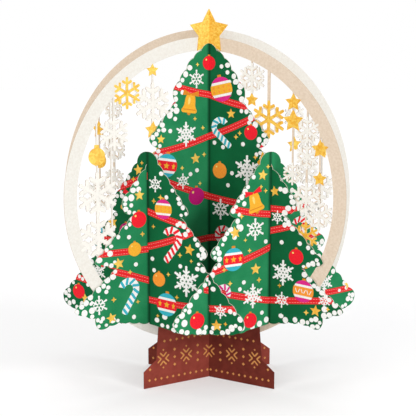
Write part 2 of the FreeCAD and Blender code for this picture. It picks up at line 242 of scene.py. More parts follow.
class Value:
    """A number that changes over a surface."""

    def __init__(self, nodes, socket):
        self.nodes = nodes
        self.socket = socket

    def math(self, operation, other=None, swapped=False):
        inputs = {0: other, 1: self} if swapped else {0: self, 1: other}
        if other is None:
            inputs = {0: self}
        node = self.nodes.add("ShaderNodeMath", {"operation": operation}, inputs)
        return Value(self.nodes, node.outputs[0])

    def __add__(self, other):
        return self.math("ADD", other)

    def __radd__(self, other):
        return self.math("ADD", other)

    def __sub__(self, other):
        return self.math("SUBTRACT", other)

    def __rsub__(self, other):
        return self.math("SUBTRACT", other, swapped=True)

    def __mul__(self, other):
        return self.math("MULTIPLY", other)

    def __rmul__(self, other):
        return self.math("MULTIPLY", other)

    def __abs__(self):
        return self.math("ABSOLUTE")

    def __gt__(self, other):
        return self.math("GREATER_THAN", other)

    def larger(self, other):
        return self.math("MAXIMUM", other)

    def smaller(self, other):
        return self.math("MINIMUM", other)


class Nodes:
    """A node tree, to which nodes are added by one method."""

    def __init__(self, tree):
        self.tree = tree

    def add(self, kind, settings=None, inputs=None):
        """Add a node with its settings and what goes into its sockets."""
        node = self.tree.nodes.new(kind)
        for key, value in (settings or {}).items():
            setattr(node, key, value)
        for key, value in (inputs or {}).items():
            self.feed(node.inputs[key], value)
        return node

    def feed(self, socket, value):
        """Link a value to a socket, or set it there when it is constant."""
        if isinstance(value, Value):
            self.tree.links.new(value.socket, socket)
        elif isinstance(value, bpy.types.NodeSocket):
            self.tree.links.new(value, socket)
        else:
            socket.default_value = value

    def seen(self):
        """1 for what is looked at, also in a mirror or through glass, and 0 for its light."""
        path = self.add("ShaderNodeLightPath")
        direct = Value(self, path.outputs["Is Camera Ray"])
        mirrored = Value(self, path.outputs["Is Glossy Ray"])
        through = Value(self, path.outputs["Is Transmission Ray"])
        return direct.larger(mirrored).larger(through)


class Finish(Nodes):
    """One material and the nodes that make it."""

    def __init__(self, name, roughness, metallic=0.0):
        self.material = bpy.data.materials.new(name)
        self.material.use_nodes = True
        super().__init__(self.material.node_tree)
        self.shader = self.tree.nodes["Principled BSDF"]
        self.shader.inputs["Roughness"].default_value = roughness
        self.shader.inputs["Metallic"].default_value = metallic
        self.shader.inputs["Specular IOR Level"].default_value = CARD_SHEEN
        self.where = self.add("ShaderNodeTexCoord")

    def noise(self, grain, detail=2.0):
        """Soft noise whose grains are about this many metres wide."""
        node = self.add("ShaderNodeTexNoise", inputs={
            "Vector": self.where.outputs["Object"], "Scale": 1.0 / grain, "Detail": detail})
        return Value(self, node.outputs["Fac"])

    def along(self, direction):
        """How far the surface's normal points along a direction."""
        node = self.add("ShaderNodeVectorMath", {"operation": "DOT_PRODUCT"}, {
            0: self.where.outputs["Normal"], 1: direction})
        return Value(self, node.outputs["Value"])

    def blend(self, share, low, high):
        """A colour between two others."""
        node = self.add("ShaderNodeMix", {"data_type": "RGBA"}, {0: share, 6: low, 7: high})
        return node.outputs[2]

    def stretch(self, value, low, high):
        """Spread the part of a noise between two levels over 0 to 1."""
        node = self.add("ShaderNodeMapRange", inputs={
            "Value": value, "From Min": low, "From Max": high})
        return Value(self, node.outputs["Result"])

    def relief(self, height, depth, strength=0.4):
        """Raise the surface by this many metres where the height is 1."""
        node = self.add("ShaderNodeBump", inputs={
            "Height": height, "Strength": strength, "Distance": depth})
        self.feed(self.shader.inputs["Normal"], node.outputs["Normal"])

    def colour(self, value):
        """Give the shader its colour."""
        self.feed(self.shader.inputs["Base Color"], value)

    def wear(self, thing):
        """Put this finish on a piece."""
        thing.data.materials.clear()
        thing.data.materials.append(self.material)


def shade(tone, factor):
    """A colour made darker or lighter."""
    return tuple(min(1.0, channel * factor) for channel in tone[:3]) + (1.0,)


def arm_sides(finish):
    """How squarely a face lies along the arms that turn to the light, and along the others; this
    picks the painted lit and shaded colours.
    """
    turn = sizes().turn
    lit = abs(finish.along((math.sin(turn), -math.cos(turn), 0.0)))
    shaded = abs(finish.along((math.sin(turn), math.cos(turn), 0.0)))
    return lit, shaded


def painted_fold_shade(finish):
    """Painted shade, 1 along the folds: in the middle of the big tree and where the small trees
    cross it.
    """
    place = finish.add("ShaderNodeSeparateXYZ", inputs={0: finish.where.outputs["Object"]})
    across = abs(Value(finish, place.outputs["X"]))
    crossing = abs(across - sizes().crossing * math.cos(sizes().turn))
    near = finish.add("ShaderNodeMapRange", {"interpolation_type": "SMOOTHSTEP"}, {
        "Value": across.smaller(crossing), "From Min": 0.0, "From Max": FOLD_SHADE_SPREAD,
        "To Min": 1.0, "To Max": 0.0})
    return Value(finish, near.outputs["Result"])


def card_finish(name, lit_inks, shade_inks, edge_ink, grain, fibre, relief, fold_shade=0.0):
    """Printed or dyed card: broad mottling, fine fibres, painted shade on the arms turned from the
    lamp and along the folds, and bare cut edges.
    """
    finish = Finish(name, roughness=0.78)
    broad = finish.stretch(finish.noise(grain), 0.35, 0.65)
    fine = finish.stretch(finish.noise(fibre, 3.0), 0.3, 0.7)
    lit, shaded = arm_sides(finish)
    # painted shade: faces square to the arms turned from the lamp take the shaded copies of the
    # colours
    main = finish.blend(lit > SQUARE, ink_of(shade_inks[0]), ink_of(lit_inks[0]))
    deep = finish.blend(lit > SQUARE, ink_of(shade_inks[1]), ink_of(lit_inks[1]))
    body = finish.blend(broad * 0.7 + fine * 0.3, deep, main)
    # painted shade: the folds are darkened towards a quarter of the deep shaded colour
    if fold_shade:
        body = finish.blend(painted_fold_shade(finish) * fold_shade, body, shade(ink_of(shade_inks[1]), 0.25))
    if edge_ink:
        edge = finish.blend(fine, shade(ink_of(edge_ink), 0.85), ink_of(edge_ink))
        body = finish.blend(lit.larger(shaded) > SQUARE, edge, body)
    finish.colour(body)
    finish.relief(fine, relief)
    return finish


def ink_finish(ink):
    """A coat of ink: nearly even, with fine grain from the card below."""
    finish = Finish("ink_" + ink, roughness=0.6)
    fine = finish.stretch(finish.noise(0.5 * MM, 3.0), 0.3, 0.7)
    finish.colour(finish.blend(fine, shade(ink_of(ink), 0.86), shade(ink_of(ink), 1.06)))
    finish.relief(fine, 0.03 * MM)
    return finish


def foil_finish(name, grain, roughness):
    """Gold foil or glitter: grains of two golds that catch the light apart, painted lighter gold on
    the arms turned to the lamp.
    """
    finish = Finish(name, roughness, metallic=0.45)
    cells = finish.add("ShaderNodeTexVoronoi", inputs={
        "Vector": finish.where.outputs["Object"], "Scale": 1.0 / grain})
    each = finish.add("ShaderNodeSeparateColor", inputs={0: cells.outputs["Color"]})
    grain_of = Value(finish, each.outputs[0])
    lit, _ = arm_sides(finish)
    # painted light: the arms turned to the lamp get a larger share of the light gold
    finish.colour(finish.blend(
        grain_of * 0.7 + (lit > SQUARE) * 0.3, ink_of("foil_deep"), ink_of("foil")))
    finish.feed(finish.shader.inputs["Roughness"], grain_of * 0.3 + roughness)
    finish.relief(Value(finish, each.outputs[1]), grain * 0.4, 0.7)
    return finish


# Arms of the folded sheets

class Arm:
    """One flat arm of a sheet: where its middle layer starts at the fold, and its turn in plan."""

    def __init__(self, node, turn, start):
        self.node = node
        self.turn = turn
        self.normal = Vector((-math.sin(turn), math.cos(turn), 0.0))
        self.start = Vector(start)
        self.matrix = Matrix.Translation(self.start) @ Matrix.Rotation(turn, 4, "Z")
        self.outline = None
        self.block = None

    def inside(self, reach, height):
        """True where a point of the arm lies on its card."""
        hit = False
        points = self.outline
        for first, second in zip(points, points[1:] + points[:1]):
            if (first[1] > height) != (second[1] > height):
                share = (height - first[1]) / (second[1] - first[1])
                if reach < first[0] + share * (second[0] - first[0]):
                    hit = not hit
        return hit


def step():
    """One sheet's step where the sheets nest at the fold."""
    return sizes().card / math.cos(sizes().turn)


def fold_of(number, page):
    """Y of the outer face at the fold of the sheet that lies this many behind the tree."""
    front = (number - 1.5) * step()
    return front if page == "front" else 2 * (1.5 * step() - sizes().fold_flat) - front


def folded_arm(node, number, side, page):
    """An arm of a folded sheet: side -1 is left and 1 is right."""
    facing = -1 if page == "front" else 1
    turn = sizes().turn * side * facing
    inward = -facing * 0.5 * sizes().card
    start = (-math.sin(turn) * inward, fold_of(number, page) + math.cos(turn) * inward, 0.0)
    return Arm(node, turn, start)


def flat_arm(node, side):
    """A small tree, which is one flat arm on both sides of where it crosses."""
    turn = sizes().turn * side
    reach = sizes().crossing
    x = side * reach * math.cos(sizes().turn)
    return Arm(node, turn, (x, fold_of(0, "front") - reach * math.sin(sizes().turn), 0.0))


def printed_face(arm):
    """A copy of one face of an arm, as one flat polygon."""
    node = frame["nodes"][arm.node]
    face = twin(node)
    face.parent = None
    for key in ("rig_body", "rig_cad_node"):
        del face[key]
    half = 0.5 * sizes().card
    near = half * 0.2

    def elsewhere(item):
        off = abs((item.calc_center_median() - arm.start).dot(arm.normal) + half)
        return item.normal.dot(arm.normal) > -0.999 or off > near

    edit(face)
    bpy.ops.mesh.remove_doubles(threshold=1e-6)
    pick(face, "faces", elsewhere)
    bpy.ops.mesh.delete(type="FACE")
    bpy.ops.mesh.select_all(action="SELECT")
    bpy.ops.mesh.dissolve_limited(angle_limit=math.radians(1))
    leave()
    return face


# How far inside the cut edge the prints end
TRIM_INSET = 0.04 * MM


def measure(arm):
    """Give an arm its outline and the block that its prints are cut to."""
    face = printed_face(arm)
    back = arm.matrix.inverted()
    polygon = max(face.data.polygons, key=lambda item: item.area)
    points = [back @ face.data.vertices[index].co for index in polygon.vertices]
    arm.outline = [(point.x, point.z) for point in points]
    edit(face)
    bpy.ops.mesh.inset(thickness=TRIM_INSET)
    bpy.ops.mesh.select_all(action="INVERT")
    bpy.ops.mesh.delete(type="FACE")
    bpy.ops.mesh.select_all(action="SELECT")
    reach = 3 * sizes().card
    bpy.ops.transform.translate(value=arm.normal * -reach)
    bpy.ops.mesh.extrude_region_move(
        TRANSFORM_OT_translate={"value": arm.normal * (2 * reach + sizes().card)})
    bpy.ops.mesh.select_all(action="SELECT")
    bpy.ops.mesh.normals_make_consistent(inside=False)
    leave()
    face.name = "block"
    arm.block = face
    face.hide_render = True


ARMS = {}
# The arms of the big tree, front and back, left and right, and the two small trees
TREE_ARMS = ("FL", "FR", "BL", "BR", "LT", "RT")


def arms():
    """All the arms that carry prints. Those of the trees are measured once."""
    if not ARMS:
        for page, letter in (("front", "F"), ("back", "B")):
            for side, name in ((-1, "L"), (1, "R")):
                corner = letter + name
                ARMS[corner] = folded_arm("tree_" + page, 0, side, page)
                ARMS["trunk_" + corner] = folded_arm("trunk_" + page, 1, side, page)
                ARMS["ring_" + corner] = folded_arm("ring_" + page, 2, side, page)
        ARMS["LT"] = flat_arm("left_tree", -1)
        ARMS["RT"] = flat_arm("right_tree", 1)
        for arm_name in TREE_ARMS:
            measure(ARMS[arm_name])
    return ARMS


OPPOSITE = {"FL": "BR", "FR": "BL"}


def everywhere(rows):
    """Each row, and for the front arms the same row turned half round onto the back arms."""
    for arm_name, *row in rows:
        yield arm_name, *row
        if arm_name in OPPOSITE:
            yield OPPOSITE[arm_name], *(
                (-item[0], *item[1:]) if isinstance(item, tuple) else item for item in row)


# Shapes that are modelled once and then copied. Each is about one unit wide and one thick.

def round_shape(sides):
    """A round with a narrow rim on both faces."""
    bpy.ops.mesh.primitive_cylinder_add(
        vertices=sides, radius=0.5, depth=1.0, rotation=(QUARTER, 0, 0))
    shape = settle(bpy.context.object, "round")
    edit(shape)
    pick(shape, "faces", lambda item: abs(item.normal.y) > 0.9)
    bpy.ops.mesh.inset(thickness=0.05)
    leave()
    return shape


def slice_of(shape, low, high):
    """The part of a shape between two heights."""
    part = twin(shape)
    edit(part)
    bpy.ops.mesh.bisect(
        plane_co=(0, 0, low), plane_no=(0, 0, 1), use_fill=True, clear_inner=True)
    bpy.ops.mesh.select_all(action="SELECT")
    bpy.ops.mesh.bisect(
        plane_co=(0, 0, high), plane_no=(0, 0, 1), use_fill=True, clear_outer=True)
    leave()
    return part


def pointed_shape(points, waist):
    """A star with that many points."""
    bpy.ops.mesh.primitive_circle_add(
        vertices=2 * points, radius=0.5, fill_type="NGON", rotation=(QUARTER, 0, 0))
    shape = settle(bpy.context.object, "star")
    spread = math.pi / points
    edit(shape, "VERT")

    def inner(item):
        turn = math.atan2(item.co.x, item.co.z) / spread
        return round(turn) % 2 == 1

    pick(shape, "verts", inner)
    bpy.ops.transform.resize(value=(waist, waist, waist), center_override=(0, 0, 0))
    leave()
    return thicken(shape)


def panel(profile):
    """A panel from its (height, half width) rows, top row first."""
    top, half = profile[0]
    bpy.ops.mesh.primitive_plane_add(size=1.0, rotation=(QUARTER, 0, 0))
    shape = settle(bpy.context.object, "panel")
    edit(shape, "VERT")
    below, below_half = profile[1]
    bpy.ops.transform.resize(value=(1, 1, top - below), center_override=(0, 0, 0.5))
    bpy.ops.transform.translate(value=(0, 0, top - 0.5))
    for row_height, row_half in ((top, half), (below, below_half)):
        pick(shape, "verts", lambda item: abs(item.co.z - row_height) < 1e-4)
        bpy.ops.transform.resize(value=(2 * row_half, 1, 1), center_override=(0, 0, row_height))
    bpy.ops.mesh.select_mode(type="EDGE")
    last, last_half = below, below_half
    for row_height, row_half in profile[2:]:
        pick(shape, "edges", lambda item: all(abs(v.co.z - last) < 1e-4 for v in item.verts))
        bpy.ops.mesh.extrude_region_move(
            TRANSFORM_OT_translate={"value": (0, 0, row_height - last)})
        bpy.ops.transform.resize(
            value=(row_half / last_half, 1, 1), center_override=(0, 0, row_height))
        last, last_half = row_height, row_half
    leave()
    return thicken(shape)


def laid(shape, x, z, wide, high, turn=0.0, deep=1.0):
    """A copy of a shape, sized, turned and moved in the XZ plane."""
    copy = twin(shape)
    copy.data.transform(
        Matrix.Translation((x, 0, z)) @ Matrix.Rotation(turn, 4, "Y")
        @ Matrix.Diagonal((wide, deep, high, 1.0)))
    return copy


def six_times(parts, name):
    """Turn one arm's parts into a six-armed flake."""
    one = join(parts, name)
    turned = [one]
    for number in range(1, 6):
        copy = twin(one)
        copy.data.transform(Matrix.Rotation(math.radians(60) * number, 4, "Y"))
        turned.append(copy)
    return join(turned, name)


def bar_shape():
    """A small bar with softened ends."""
    return panel(((0.5, 0.38), (0.38, 0.5), (-0.38, 0.5), (-0.5, 0.38)))


# Depths of a flake's parts, so that no two of its faces coincide
HEXAGON_DEEP = 0.965
BRANCH_DEEP = 0.975
TIP_DEEP = 0.985
HUB_DEEP = 1.02


def branches(bar, place, reach, thick, lean):
    """Two branches that leave an arm at one height, one to each side."""
    pair = []
    for side in (-1, 1):
        turn = math.radians(lean) * side
        pair.append(laid(
            bar, 0.5 * reach * math.sin(turn), place + 0.5 * reach * math.cos(turn),
            thick, reach, turn, BRANCH_DEEP))
    return pair


def flake_shape(bar, dot, pairs, tips):
    """A printed flake: bars with pairs of branches, and dots along each bar."""
    parts = [laid(bar, 0, 0.26, 0.085, 0.40)]
    for place, reach in pairs:
        parts += branches(bar, place, reach, 0.06, 55)
    for place, width in tips:
        parts.append(laid(dot, 0, place, width, width, 0.0, TIP_DEEP))
    return six_times(parts, "flake")


# A flake cut in the rings, as shares of its width: its bars' width, the middle and the size of
# a branch, and the hub where the bars cross
CUT_BAR = 0.086
CUT_BRANCH = (0.1025, 0.35)
CUT_BRANCH_SIZE = (0.083, 0.155)
CUT_HUB = 0.13


def cut_flake_shape(bar, dot):
    """The outline of the flakes cut in the rings, a little proud of them."""
    parts = [laid(bar, 0, 0.255, CUT_BAR, 0.51)]
    for side in (-1, 1):
        parts.append(laid(
            bar, CUT_BRANCH[0] * side, CUT_BRANCH[1], *CUT_BRANCH_SIZE,
            math.radians(60) * side, BRANCH_DEEP))
    hub = laid(dot, 0, 0, CUT_HUB, CUT_HUB, 0.0, HUB_DEEP)
    return join([six_times(parts, "cut_flake"), hub], "cut_flake")


# The finer cuts of the same flake: widths, the hexagon's side, and the middle of a side dot
LACE_BAR = 0.034
LACE_HEXAGON = 0.15
LACE_BRANCH = 0.085
LACE_TIP = 0.1
LACE_DOT = 0.085
LACE_DOT_PLACE = (0.163, 0.385)


def lace_shape(bar, dot):
    """Finer cuts of a hanging flake: inner branches, a hexagon and dots at every end."""
    parts = [laid(dot, 0, 0.46, LACE_TIP, LACE_TIP)]
    parts += branches(bar, 0.16, LACE_BRANCH, LACE_BAR, 55)
    for side in (-1, 1):
        parts.append(laid(
            dot, LACE_DOT_PLACE[0] * side, LACE_DOT_PLACE[1], LACE_DOT, LACE_DOT, 0.0, TIP_DEEP))
    half = math.radians(30)
    across = LACE_HEXAGON * math.cos(half)
    parts.append(laid(
        bar, across * math.sin(half), across * math.cos(half), LACE_BAR, LACE_HEXAGON,
        half + QUARTER, HEXAGON_DEEP))
    return six_times(parts, "lace")


# A cane, as shares of its height: its width, the hook's radius and the straight length
CANE_WIDTH = 0.19
CANE_HOOK = 0.23
CANE_STICK = 0.675
CANE_BEND = math.radians(195)
CANE_STRIPES = 9
STRIPE_SLANT = math.radians(24)
STRIPE_DEEP = 0.99


def cane_shape():
    """A cane: a straight stick that is spun round into its hook."""
    bpy.ops.mesh.primitive_cube_add(size=1.0)
    shape = settle(bpy.context.object, "cane")
    edit(shape)
    bpy.ops.transform.resize(value=(CANE_WIDTH, 1, CANE_STICK), center_override=(0, 0, 0))
    bpy.ops.transform.translate(value=(CANE_HOOK, 0, CANE_STICK * 0.5 - 0.5))
    pick(shape, "faces", lambda item: item.normal.z > 0.9)
    bpy.ops.mesh.spin(
        steps=10, angle=CANE_BEND, center=(0, 0, CANE_STICK - 0.5), axis=(0, 1, 0))
    bpy.ops.mesh.select_all(action="SELECT")
    bpy.ops.mesh.remove_doubles(threshold=1e-5)
    bpy.ops.mesh.normals_make_consistent(inside=False)
    pick(shape, "faces", lambda item: item.normal.z < -0.9 and item.calc_center_median().z < -0.45)
    bpy.ops.mesh.bevel(offset=CANE_WIDTH * 0.3, offset_type="OFFSET", segments=2, affect="EDGES")
    leave()
    return shape


def cane_stripes(bar):
    """The slanted stripes along a cane."""
    whole = CANE_STICK + CANE_HOOK * CANE_BEND
    stripes = []
    for number in range(CANE_STRIPES):
        way = whole * (number + 0.5) / CANE_STRIPES
        if way < CANE_STICK:
            x, z, turn = CANE_HOOK, way - 0.5, 0.0
        else:
            bend = (way - CANE_STICK) / CANE_HOOK
            x = CANE_HOOK * math.cos(bend)
            z = CANE_STICK - 0.5 + CANE_HOOK * math.sin(bend)
            turn = -bend
        stripes.append(laid(
            bar, x, z, CANE_WIDTH * 1.12, whole / CANE_STRIPES * 0.46,
            turn + STRIPE_SLANT, STRIPE_DEEP))
    return join(stripes, "stripes")


SHAPES = {}


def pattern(name):
    """One of the shapes, to be copied."""
    if not SHAPES:
        dot = round_shape(16)
        ball = round_shape(32)
        bar = bar_shape()
        SHAPES.update({
            "dot": dot,
            "ball": ball,
            "bar": bar,
            "cap": slice_of(ball, 0.3, 0.6),
            "cup": slice_of(ball, -0.6, -0.3),
            "belt": slice_of(ball, -0.18, 0.18),
            "star": pointed_shape(5, 0.46),
            "cut_star": pointed_shape(5, 0.52),
            "spark": pointed_shape(4, 0.42),
            "flake": flake_shape(
                bar, dot, ((0.14, 0.13), (0.26, 0.15)), ((0.47, 0.085), (0.08, 0.1))),
            "small_flake": flake_shape(bar, dot, ((0.2, 0.17),), ((0.46, 0.11),)),
            "cut_flake": cut_flake_shape(bar, dot),
            "lace": lace_shape(bar, dot),
            "cane": cane_shape(),
            "stripes": cane_stripes(bar),
            "bell": panel((
                (0.5, 0.12), (0.46, 0.21), (0.36, 0.29), (0.2, 0.33), (-0.1, 0.36),
                (-0.24, 0.42), (-0.34, 0.5), (-0.43, 0.5), (-0.5, 0.42))),
            "wing": panel(((0.5, 0.5), (0.1, 0.34), (-0.5, 0.16))),
        })
        for item in SHAPES.values():
            item.hide_render = True
    return SHAPES[name]


# Prints

class Prints:
    """Copies of the shapes laid on the arms, gathered by colour."""

    def __init__(self):
        self.laid = {}

    def keep(self, ink, arm_name, piece):
        """Gather a piece under its ink and arm."""
        self.laid.setdefault(ink, {}).setdefault(arm_name, []).append(piece)

    def stamp(self, name, ink, arm_name, place, width, height, layer, turn=0.0, shift=(0, 0),
              flip=False):
        """Lay one copy: place is (reach, height) on the arm, shift is a step within the motif."""
        card = sizes()
        depth = card.card + 2 * (card.first_layer + layer * card.layer)
        piece = twin(pattern(name))
        piece.hide_render = False
        matrix = arms()[arm_name].matrix @ Matrix.Translation((place[0], 0, place[1]))
        if flip:
            matrix = matrix @ Matrix.Rotation(math.pi, 4, "Z")
        matrix = matrix @ Matrix.Rotation(turn, 4, "Y")
        matrix = matrix @ Matrix.Translation((shift[0], 0, shift[1]))
        piece.data.transform(matrix @ Matrix.Diagonal((width, depth, height, 1.0)))
        self.keep(ink, arm_name, piece)

    def finish(self, title, slot, finishes, trimmed=True):
        """Cut the prints to their arms, join them by colour and give them their inks."""
        for ink, by_arm in self.laid.items():
            parts = []
            for arm_name, pieces in by_arm.items():
                part = join(pieces, "part")
                block = arms()[arm_name].block
                if trimmed and block:
                    only(part)
                    trim = part.modifiers.new("trim", "BOOLEAN")
                    trim.operation = "INTERSECT"
                    trim.solver = "MANIFOLD"
                    trim.object = block
                    bpy.ops.object.modifier_apply(modifier="trim")
                parts.append(part)
            piece = join(parts, "%s_%s" % (title, ink))
            finishes[ink].wear(piece)
            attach(piece, "root")


INKS = {}


def inks(*names):
    """The ink materials of these colours, each made once."""
    for name in names:
        if name not in INKS:
            INKS[name] = ink_finish(name)
    return INKS


def mm(*values):
    """These millimetres in metres."""
    return tuple(value * MM for value in values)


# Ribbons: (arm, start, end, sag), each place (reach, height) in millimetres
RIBBONS = (
    ("FL", (-25.0, 162.0), (0.0, 155.6), 0.6),
    ("FR", (0.0, 155.6), (25.0, 149.6), 0.6),
    ("FL", (-39.0, 125.6), (0.0, 133.6), 1.2),
    ("FR", (0.0, 133.6), (31.0, 146.8), 0.8),
    ("FL", (-34.0, 114.6), (0.0, 101.3), 0.6),
    ("FR", (0.0, 101.3), (54.0, 98.0), 1.4),
    ("FL", (-70.0, 76.6), (0.0, 78.6), 1.2),
    ("FR", (0.0, 78.6), (58.0, 92.6), 1.6),
    ("FL", (-64.0, 69.0), (0.0, 44.4), -1.0),
    ("FR", (0.0, 46.6), (80.0, 54.4), 1.4),
    ("LT", (0.0, 96.3), (28.0, 89.8), 0.4),
    ("LT", (-28.0, 104.0), (0.0, 114.9), 0.4),
    ("LT", (0.0, 77.7), (34.0, 91.0), 1.0),
    ("LT", (-40.0, 80.6), (0.0, 77.7), 1.0),
    ("LT", (0.0, 49.1), (58.0, 51.8), 1.6),
    ("LT", (-58.0, 58.0), (0.0, 49.1), 1.2),
    ("RT", (-29.0, 101.4), (0.0, 94.8), 0.8),
    ("RT", (0.0, 94.8), (29.0, 99.0), 0.6),
    ("RT", (-41.0, 66.8), (0.0, 77.2), 1.0),
    ("RT", (0.0, 77.2), (38.0, 84.0), 1.2),
    ("RT", (-40.0, 59.8), (0.0, 48.6), 0.6),
    ("RT", (0.0, 48.6), (60.0, 49.0), 1.0),
)
RIBBON_STEPS = 8
# Stitches: their step, length and width, their distance from the fold, and their rows' place
# as a share of the ribbon's width
STITCH_STEP = 1.5 * MM
STITCH_LENGTH = 1.0 * MM
STITCH_WIDTH = 0.26 * MM
STITCH_CLEAR = 0.6 * MM
STITCH_ROW = 0.26


def ribbon_line(start, end, sag, share):
    """The middle of a ribbon, a share of the way along."""
    reach = start[0] + (end[0] - start[0]) * share
    height = start[1] + (end[1] - start[1]) * share - 4 * sag * share * (1 - share)
    return reach, height


def lay_ribbon(prints, arm_name, start, end, sag):
    """Extrude a strip along the ribbon's line and give it its thickness."""
    card = sizes()
    arm = arms()[arm_name]
    line = [ribbon_line(start, end, sag, number / RIBBON_STEPS)
            for number in range(RIBBON_STEPS + 1)]
    tilt = math.atan2(end[1] - start[1], end[0] - start[0])
    high = card.ribbon / math.cos(tilt)
    first = line[1][0] - line[0][0]
    bpy.ops.mesh.primitive_plane_add(
        size=1.0, rotation=(QUARTER, 0, 0), location=mm(0.5 * (line[0][0] + line[1][0]), 0, 0))
    bpy.context.object.scale = (first * MM, high, 1.0)
    strip = settle(bpy.context.object, "strip")
    edit(strip, "EDGE")
    for reach, height in line[:2]:
        pick(strip, "edges", lambda item: all(abs(v.co.x - reach * MM) < 1e-6 for v in item.verts))
        bpy.ops.transform.translate(value=(0, 0, height * MM))
    for before, after in zip(line[1:], line[2:]):
        pick(strip, "edges",
             lambda item: all(abs(v.co.x - before[0] * MM) < 1e-6 for v in item.verts))
        bpy.ops.mesh.extrude_region_move(TRANSFORM_OT_translate={
            "value": mm(after[0] - before[0], 0, after[1] - before[1])})
    leave()
    thicken(strip, card.card + 2 * card.first_layer)
    strip.data.transform(arm.matrix)
    prints.keep("red", arm_name, strip)


def lay_stitches(prints, arm_name, start, end, sag):
    """Two rows of pale stitches along a ribbon."""
    card = sizes()
    arm = arms()[arm_name]
    span = math.hypot(end[0] - start[0], end[1] - start[1]) * MM
    count = int(span / STITCH_STEP)
    tilt = math.atan2(end[1] - start[1], end[0] - start[0])
    for number in range(count):
        reach, height = ribbon_line(start, end, sag, (number + 0.5) / count)
        for row in (-1, 1):
            place = mm(reach, height + row * STITCH_ROW * card.ribbon / MM)
            if arm.inside(*place) and abs(place[0]) > STITCH_CLEAR:
                prints.stamp(
                    "bar", "stitch", arm_name, place, STITCH_LENGTH, STITCH_WIDTH, 1, -tilt)


class CARD_OT_ribbons(bpy.types.Operator):
    """Print the red ribbons and their stitches on the trees"""

    bl_idname = "card.ribbons"
    bl_label = "Ribbons"

    def execute(self, context):
        prints = Prints()
        stitches = Prints()
        for arm_name, *ends, sag in everywhere(RIBBONS):
            start, end = sorted(ends)
            lay_ribbon(prints, arm_name, start, end, sag)
            lay_stitches(stitches, arm_name, start, end, sag)
        prints.finish("ribbon", "tree_print", inks("red"))
        stitches.finish("ribbon", "tree_print", inks("stitch"), trimmed=False)
        return {"FINISHED"}


# Snow: lumps along the cut edges, thicker near the tips of the branches, whose places are
# (reach, height) in millimetres
BIG_TIPS = ((21.6, 156.5), (35.6, 133.2), (51.5, 102.0), (67.3, 72.0), (79.0, 47.9), (65.4, 36.9))
SMALL_TIPS = ((24.6, 97.0), (35.9, 77.2), (57.3, 44.2), (52.4, 38.2), (36.0, 36.2), (14.0, 34.2))
SNOW_REACH = 13.0 * MM
BARE_TOP = 8.0 * MM
BARE_SLOT = 1.2 * MM
SNOW_STEP = 1.2 * MM
# Rows of snow inward from the edge: chance of a lump, nearest and farthest depth in millimetres
SNOW_ROWS = ((0.66, 0.9, 1.7), (0.22, 2.6, 4.2), (0.05, 4.4, 6.4))
SPARSE_ROWS = ((0.12, 1.0, 1.8), (0.03, 2.8, 4.0))
# How near two lumps may come, as a share of their widths
SNOW_CROWDING = 0.46
# Seed of the snow's random draws
SNOW_DRAW = 24
# Loose dots of snow on each arm
DOTS = (
    ("FL", (-7.4, 115.8)), ("FL", (-11.4, 114.0)), ("FL", (-20.4, 143.6)), ("FL", (-23.4, 137.4)),
    ("FL", (-48.0, 83.7)), ("FL", (-44.2, 68.9)), ("FL", (-61.3, 56.4)), ("FL", (-63.5, 42.5)),
    ("FL", (-24.0, 92.0)),
    ("FL", (-10.0, 68.0)), ("FL", (-22.0, 60.0)),
    ("FR", (7.6, 170.4)), ("FR", (11.2, 167.4)), ("FR", (17.8, 157.6)), ("FR", (15.6, 162.4)),
    ("FR", (3.4, 130.3)), ("FR", (8.6, 128.2)), ("FR", (20.6, 130.4)), ("FR", (14.1, 114.7)),
    ("FR", (11.7, 108.1)), ("FR", (43.8, 80.6)), ("FR", (20.0, 88.0)), ("FR", (14.0, 62.0)),
    ("LT", (3.6, 65.4)), ("LT", (2.6, 71.4)), ("LT", (19.8, 69.4)), ("LT", (11.6, 104.6)),
    ("LT", (18.2, 90.8)), ("LT", (-6.0, 88.0)), ("LT", (-18.0, 70.0)), ("LT", (-40.0, 52.0)),
    ("RT", (-2.6, 80.6)), ("RT", (-19.6, 90.2)), ("RT", (-16.0, 60.4)), ("RT", (-18.4, 57.0)),
    ("RT", (-4.6, 42.6)), ("RT", (2.6, 109.0)), ("RT", (8.6, 102.4)), ("RT", (20.0, 76.0)),
)


def edge_walk(outline, draw):
    """Points along an outline with the way inward at each."""
    turning = sum(a[0] * b[1] - b[0] * a[1] for a, b in zip(outline, outline[1:] + outline[:1]))
    side = 1.0 if turning > 0 else -1.0
    rest = 0.0
    for first, second in zip(outline, outline[1:] + outline[:1]):
        span = math.hypot(second[0] - first[0], second[1] - first[1])
        while rest < span:
            way = ((second[0] - first[0]) / span, (second[1] - first[1]) / span)
            yield ((first[0] + way[0] * rest, first[1] + way[1] * rest),
                   (-way[1] * side, way[0] * side))
            rest += SNOW_STEP * draw.uniform(0.7, 1.3)
        rest -= span


